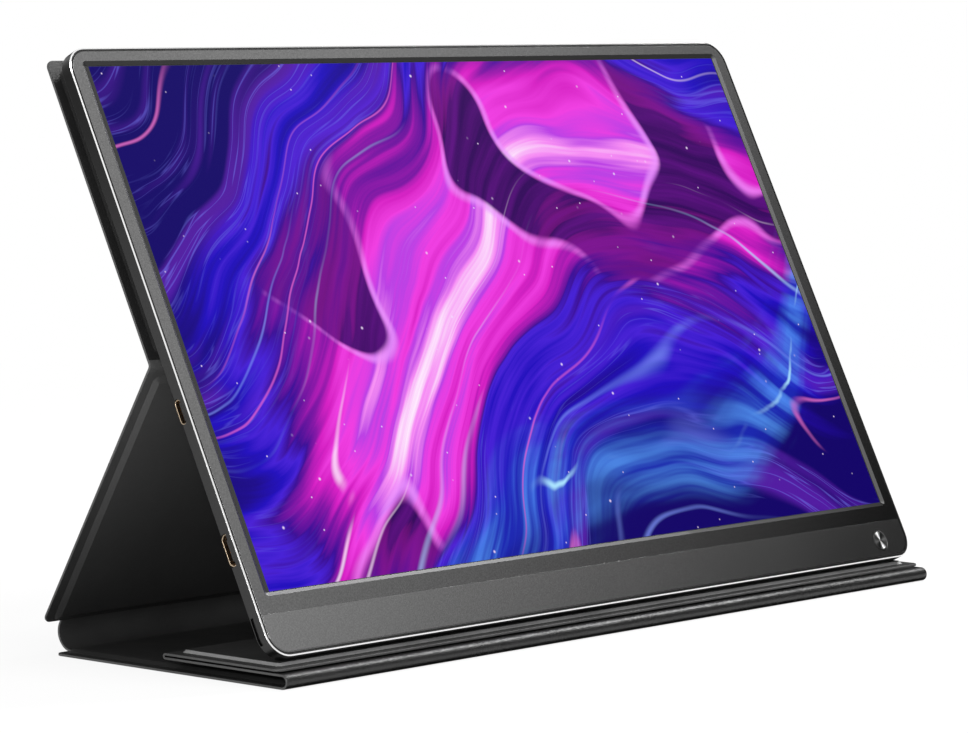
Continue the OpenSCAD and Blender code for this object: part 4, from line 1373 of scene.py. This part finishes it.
@dataclass(frozen=True)
class Fold:
    """Leather band round a fold: a sheet bent about an axis, with a straight tab at each end.

    In the (y, z) plane of its place the band's middle runs at radius R from angle a0 to a1.
    The first of its bodies is at the start angle, unless the bodies' own angles say otherwise.
    """

    name: str
    place: Place
    roll: float
    angles: Pair
    bodies: tuple[str, str]
    body_angles: Pair
    half: float = 180.0
    wave: float = 0.03
    lining_out: bool = False
    thick: float = 0.9
    tab: float = 1.0
    end_r: float = 0.25

    def path(self) -> tuple[np.ndarray, np.ndarray]:
        """Middle line and outward normals, with tabs along the tangents.

        Returns:
            The points R (cos a, sin a) and the normals (cos a, sin a).
        """
        a = np.radians(np.linspace(*self.angles, 33))
        normal = np.stack([np.cos(a), np.sin(a)], -1)
        turn = math.copysign(1.0, self.angles[1] - self.angles[0])
        middle, way = self.roll * normal, turn * np.stack([-np.sin(a), np.cos(a)], -1)
        steps = np.array([1.0, 0.5])[:, None] * self.tab
        middle = np.vstack([middle[0] - way[0] * steps, middle, middle[-1] + way[-1] * steps[::-1]])
        return middle, np.vstack([normal[:1], normal[:1], normal, normal[-1:], normal[-1:]])

    def make(self, looks: CoverLooks) -> None:
        """The band: p(x, s) = middle(s) + normal(s) (side (T/2 - d(x)) + w(x, s)).

        T is the thickness less a hair, which keeps the band inside the roll of the sheet, d
        rounds the two ends and w is a slight wave of the leather.

        Args:
            looks: Finishes of the cover.
        """
        middle, normal = self.path()
        count, r, t = len(middle), self.end_r, np.radians(np.linspace(0.0, 90.0, 5))
        ends, drop = self.half - r + r * np.sin(t), r - r * np.cos(t)
        x = np.concatenate([-ends[::-1], np.linspace(2.0 - self.half, self.half - 2.0, 61), ends])
        d = np.concatenate([drop[::-1], np.zeros(61), drop])
        s, across = np.linspace(0.0, 1.0, count), x[:, None]
        wave = self.wave * np.sin(math.pi * s) ** 2 * (
            np.sin(across / 17.0) * np.sin(9.0 * s + 0.03 * across)
            + 0.6 * np.sin(across / 7.3 + 1.0) * np.cos(7.0 * s))
        layers = []
        for side, part in ((1.0, 1.0), (-1.0, 0.0)):
            away = side * (self.thick / 2 - 0.02 - d)[:, None] + part * np.minimum(wave, 0.0)
            flat = middle + normal * away[..., None]
            layers.append(np.dstack([np.broadcast_to(across, flat.shape[:2]), flat]))
        marks = np.full((len(x) - 1, 2 * count), 2 * self.lining_out)
        marks[:, count - 1:] = 2 * (not self.lining_out)
        marks[[0, 1, -2, -1]] = 1
        solid = Solid().patch(np.hstack([layers[0], layers[1][:, ::-1]]), marks)
        for end in (0, -1):
            solid.patch(np.stack([layers[0][end], layers[1][end]]), 1, around=False)
        # the folds' inner side takes the bend finish, which carries painted light
        piece = solid.build(f"{self.name}_band", self.place, [looks.hide, looks.edge, looks.bend],
                            50.0)
        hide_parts(f"{self.name}_strip")
        spots = [self.roll * np.array([0.0, math.cos(b), math.sin(b)])
                 for b in np.radians(self.body_angles)]
        start, end = (tuple(self.place.metres(p)) for p in spots)
        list(self.bodies)
        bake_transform(piece)
        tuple(start)
        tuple(end)
        LOG.info("%s: %d faces between %s and %s", piece.name, len(piece.data.polygons),
                 *self.bodies)


@dataclass
class FoldingCover:
    """The whole cover: five panels and the four folds between them."""

    stance: Stance

    def panels(self) -> list[Panel]:
        """The panels with their ends, raised parts and free corners.

        Returns:
            The panels.
        """
        s = self.stance
        upper, leg, base = s.upper_len, s.leg_len, s.base_len
        riser, flap = s.riser_len, s.flap_len
        return [
            Panel("upper", s.upper(), (1.0, upper), (3.0, upper - 4.0), (0.0, 3.0), 2.3),
            Panel("leg", s.leg(), (1.0, leg - 1.0), (1.6, leg - 3.0), (3.0, 0.0), 2.3),
            Panel("base", s.base(), (1.0, base - 1.0), (3.0, base - 1.6), (0.0, 3.0), 2.3),
            Panel("riser", s.riser(), (1.0, riser - 1.0), (3.0, riser - 3.0), (0.0, 0.0)),
            Panel("flap", s.flap(), (1.0, flap), (3.0, flap - 4.0), (0.0, 3.0))]

    def folds(self) -> list[Fold]:
        """The spine, the fold behind the monitor, the front roll and the fold under the flap.

        Returns:
            The folds.
        """
        s, t = self.stance, 0.45
        leg, mid = (-90.0, 90.0 - s.leg_angle), (90.0, 90.0 - s.fold_angle)
        return [
            Fold("spine", s.spine(), s.spine_r - t, leg, ("base", "leg"), leg, 171.5, 0.08),
            Fold("mid_fold", s.mid(), s.mid_r + t, mid, ("leg", "upper"), mid, lining_out=True),
            Fold("front_fold", s.front(), s.front_r - t, (90.0, 270.0), ("base", "riser"),
                 (270.0, 90.0), wave=0.04),
            Fold("rear_fold", s.rear(), s.rear_r - t, (-90.0, 90.0), ("riser", "flap"),
                 (-90.0, 90.0), lining_out=True)]

    def make(self, looks: CoverLooks) -> None:
        """Builds the panels and the folds.

        Args:
            looks: Finishes of the cover.
        """
        for panel in self.panels():
            panel.outside(looks)
            panel.inside(looks)
        for fold in self.folds():
            fold.make(looks)


# ---------- studio ----------

@dataclass(frozen=True)
class Lamp:
    """A soft rectangular lamp, in metres and watts."""

    name: str
    spot: Colour
    aim: Colour
    size: Pair
    power: float

    def make(self) -> None:
        """Puts the lamp in its spot, aimed at a point and unseen by the camera."""
        data = bpy.data.lights.new(self.name, "AREA")
        data.shape, data.size, data.size_y, data.energy = "RECTANGLE", *self.size, self.power
        lamp = bpy.data.objects.new(self.name, data)
        bpy.context.scene.collection.objects.link(lamp)
        lamp.location = self.spot
        aim = Vector(self.aim) - Vector(self.spot)
        lamp.rotation_euler = aim.to_track_quat("-Z", "Y").to_euler()
        lamp.visible_camera = False


@dataclass(frozen=True)
class Studio:
    """Floor, daylight, lamps, the boards that only mirrors see, and the camera."""

    lens: float = 156.57
    eye: Colour = (-1.1634, -1.01695, 0.22574)
    forward: Colour = (0.7458, 0.6605, -0.0861)
    right: Colour = (0.663, -0.7484, 0.0027)
    daylight: float = 0.5
    floor_radius: float = 4000.0
    board_radius: float = 1600.0
    board_x: float = -100.0
    lamps: tuple[Lamp, ...] = (
        Lamp("lamp_above", (0.1, -0.74, 1.42), (0.0, -0.05, 0.02), (1.0, 0.4), 11.0),
        Lamp("lamp_left", (-1.6, -0.9, 0.45), (0.0, 0.0, 0.1), (0.8, 0.6), 28.0),
        Lamp("lamp_strip", (1.22, -0.04, 1.04), (0.0, -0.05, 0.02), (0.3, 0.26), 17.0))

    def seen(self, r: Recipe) -> Signal:
        """1 for rays from the camera, mirrors and glass, else 0."""
        camera, glossy, clear = (r.add("LightPath", {}, f"Is {kind} Ray")
                                 for kind in ("Camera", "Glossy", "Transmission"))
        return camera.peak(glossy).peak(clear)

    def floor(self) -> None:
        """A pale floor, its rings at R t^2, that goes on into the white."""
        r = Recipe("floor_white")
        r.surface(Base_Color=r.noise(40.0).mix(tone(243), tone(247)), Roughness=0.9,
                  Specular_IOR_Level=0.0)
        plain = r.add("Emission", {"Color": (1.0, 1.0, 1.0), "Strength": 1.0})
        away = r.spot.vector("LENGTH", out="Value")
        share = self.seen(r) * away.level(0.35, 1.1, 0.86, 1.0, smooth=True)
        own = Signal(r, r.shader.outputs[0])
        r.replace_shader(r.add("MixShader", {0: share, 1: own, 2: plain}))
        rows = [(self.floor_radius * t ** 2 * circle(64), -0.02)
                for t in np.linspace(0.0, 1.0, 25)[1:]]
        solid = Solid().patch(loft(rows)).cap(loft(rows)[0])
        solid.build("floor", Place(), [r.block])

    def world(self) -> None:
        """White for the camera and mirrors, softer daylight for everything else."""
        r = Recipe("daylight", world=True)
        r.surface(Color=(1.0, 1.0, 1.0), Strength=self.seen(r).level(0.0, 1.0, self.daylight, 1.0))
        bpy.context.scene.world = r.block

    def gradient_board(self) -> None:
        """A curved board beside the object: white on the left, dark on the right.

        It is the part (c + R cos a cos b, R sin a cos b, R sin b) of a sphere, and its shade
        runs along z - 0.49 a.
        """
        a, b = np.meshgrid(np.radians(np.linspace(-62.0, 70.0, 45)),
                           np.radians(np.linspace(1.0, 51.0, 25)))
        ball = np.dstack([np.cos(a) * np.cos(b), np.sin(a) * np.cos(b), np.sin(b)])
        solid = Solid().patch(self.board_radius * ball + [self.board_x, 0.0, 0.0], around=False)
        r = Recipe("gradient_board")
        x, y, z = r.spot.split()
        azimuth = r.math("ARCTAN2", y, x - 0.001 * self.board_x)
        side = azimuth.level(math.radians(-62.0), math.radians(-50.0), smooth=True)
        dark = side * z.level(0.02, 0.06, smooth=True) * (z - azimuth * 0.49).level(
            0.79, 1.21, 1.0, 0.0)
        r.replace_shader(r.add("Emission", {"Color": (1.0, 1.0, 1.0),
                                            "Strength": dark.level(0.0, 1.0, 1.0, 0.0)}))
        self.mirror_only(solid.build("gradient_board", Place(), [r.block]))

    def painted_shadow_card(self) -> None:
        """A narrow black card on the floor along the roll, seen only in reflections: a painted
        shadow for the floor's contact shadow beside the roll.
        """
        rows = [[(x, y, 0.2) for x in (-250.0, 1000.0)] for y in (-61.0, -58.0)]
        r = Recipe("painted_shadow_card")
        r.surface(Base_Color=r.noise(60.0).mix(tone(2), tone(6)), Roughness=0.9,
                  Specular_IOR_Level=0.0)
        self.mirror_only(Solid().patch(np.array(rows), around=False).build(
            "painted_shadow_card", Place(), [r.block]))

    def mirror_only(self, board: Object) -> None:
        """Hides a board from everything but reflections and puts it on the stage."""
        for ray in ("camera", "diffuse", "shadow", "transmission", "volume_scatter"):
            setattr(board, f"visible_{ray}", False)

    def camera(self) -> None:
        """The camera at the listed eye, looking forward, level with right."""
        forward, right = unit(np.array(self.forward)), unit(np.array(self.right))
        data = bpy.data.cameras.new("camera")
        data.lens, data.sensor_width, data.clip_start, data.clip_end = self.lens, 36.0, 0.05, 50.0
        camera = bpy.data.objects.new("camera", data)
        bpy.context.scene.collection.objects.link(camera)
        turn = Matrix(np.stack([right, np.cross(right, forward), -forward], -1).tolist())
        camera.matrix_world = Matrix.Translation(self.eye) @ turn.to_4x4()
        bpy.context.scene.camera = camera

    def make(self) -> None:
        """Sets everything round the object."""
        bpy.context.scene.view_settings.view_transform = "Standard"
        self.floor()
        self.world()
        self.gradient_board()
        self.painted_shadow_card()
        for lamp in self.lamps:
            lamp.make()
        self.camera()


# ---------- the parts inside ----------

INSIDE: tuple[tuple[Finish, str], ...] = (
    (Picture("screen_picture", SCREEN, *PICTURE_HALF), "display_glass"),
    (Moulded("gasket_foam", tone(16), 0.9, 0.25, 0.05), "screen_gasket"),
    (Moulded("white_film", tone(236), 0.35, 0.8, 0.005, 0.03),
     "diffuser_sheets reflector_sheet display_cable"),
    (Moulded("guide_acrylic", rgb(205, 222, 230), 0.12, 1.2, 0.004, 0.05), "light_guide"),
    (LampStrip("lamp_row", SCREEN), "led_strip"),
    (Moulded("panel_frame_black", tone(22)), "panel_frame"),
    (Metal("plate_steel", tone(182), 0.38, 0.5),
     "panel_back_plate catch_plates board_screws frame_screws"),
    (Circuit("board_mask", rgb(18, 84, 46), SCREEN), "main_board driver_board button_board"),
    (Moulded("amber_film", rgb(176, 112, 34), 0.3, 0.6, 0.004, 0.1), "driver_films button_flex"),
    (Moulded("chip_resin", tone(24), 0.42, 0.12), "display_chip board_parts button_switch"),
    (Moulded("thermal_putty", rgb(128, 142, 158), 0.8, 0.3, 0.05), "thermal_pad"),
    (Moulded("speaker_shell", tone(20), 0.55), "speaker_left speaker_right"),
    (Moulded("wire_red", rgb(168, 26, 24), 0.45, 0.6, 0.004), "speaker_wires"),
    (Moulded("grey_card", rgb(150, 138, 118), 0.9, 0.5, 0.06, 0.2),
     "upper_board leg_board base_board riser_board flap_board"),
    (Metal("magnet_nickel", tone(190), 0.22, 0.6, 0.003), "upper_magnets flap_magnets"))


def dress_inside(nodes: dict[str, Object]) -> None:
    """Gives each solid that stays as it is its finish.

    Args:
        nodes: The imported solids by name.
    """
    for finish, names in INSIDE:
        material = finish.make()
        for name in names.split():
            mesh = nodes[name].data
            if not mesh.materials:
                mesh.materials.append(material)
            for i in range(len(mesh.materials)):
                nodes[name].material_slots[i].material = material
            LOG.info("%s: finish %s", name, material.name)


def cover_looks() -> CoverLooks:
    """The cover's finishes, in the order of its fields.

    Returns:
        The finishes.
    """
    return CoverLooks(*(Leather(*values).make() for values in (
        ("cover_leather", 19.0, 0.45, 0.05, 0.28),
        ("cover_lining", 30.0, 0.3, 0.012, 0.42, 0.3),
        # the flap's lining, a lighter copy: painted light
        ("cover_cut_edge", 56.0, 0.3, 0.02, 0.6),
        # the flap's front bevel: painted highlight
        ("flap_lining", 46.0, 0.3, 0.012, 0.45, 0.2),
        ("flap_slope_painted_highlight", 114.0, 0.3, 0.012, 0.42, 0.4),
        # the leg's lining lightens toward its top: painted light
        ("leg_lining", 30.0, 0.3, 0.012, 0.42, 0.3, 64.0),
        # the folds' inner side, lighter and lighter toward its top: painted light
        ("fold_lining", 38.0, 0.4, 0.02, 0.42, 0.3, 70.0))))


def main() -> None:
    """Loads the frame, builds and dresses the monitor and its cover, and sets the studio."""
    logging.basicConfig(level=logging.INFO, format="%(name)s: %(message)s")
    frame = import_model()
    polish, wall, bezel, lip, chin, back, spun, steel, gold, black, cloth = (
        finish.make() for finish in (
            Metal("bevel_polish", tone(240), 0.12, 0.5, 0.002, 0.03),
            # its upper end is darkened by painted shade
            Metal("wall_anodised_painted_shade", tone(63), 0.34, 0.3, 0.006, top=0.35),
            Metal("bezel_anodised", tone(116), 0.16, 0.5, 0.002, 0.16),
            # the lip's tones are painted light, shade and reflection
            LipMetal("lip_anodised_painted_light", SCREEN, PICTURE_HALF, 76.0, 88.0, (77.0, 34.0, 5.0)),
            Metal("chin_blasted", tone(134), 0.22, 0.5, 0.012, 0.1),
            Metal("back_anodised", tone(52), 0.42, 0.35, 0.01),
            # its bright wedges are a painted highlight
            SpunMetal("button_spun_painted_highlight", tone(255), SCREEN.shift(*BUTTON, 0.15)),
            Metal("port_steel", rgb(176, 158, 136), 0.3, 0.4, 0.003),
            Metal("contact_gold", rgb(226, 178, 86), 0.25, 0.4, 0.003),
            Moulded("tongue_black", tone(14)),
            Moulded("speaker_weave", tone(16), 0.85, 0.12)))
    case = MonitorCase()
    case.side_frame(wall, polish)
    case.back_cover(back)
    case.front_bezel(bezel, lip)
    case.chin_plate(chin)
    case.power_button(spun, wall)
    for kind in PortKind:
        kind.value.make(steel, gold, black)
    for side in Side:
        SpeakerCloth(side).make(cloth)
    FoldingCover(STANCE).make(cover_looks())
    dress_inside(frame["nodes"])
    Studio().make()


if __name__ == "__main__":
    main()
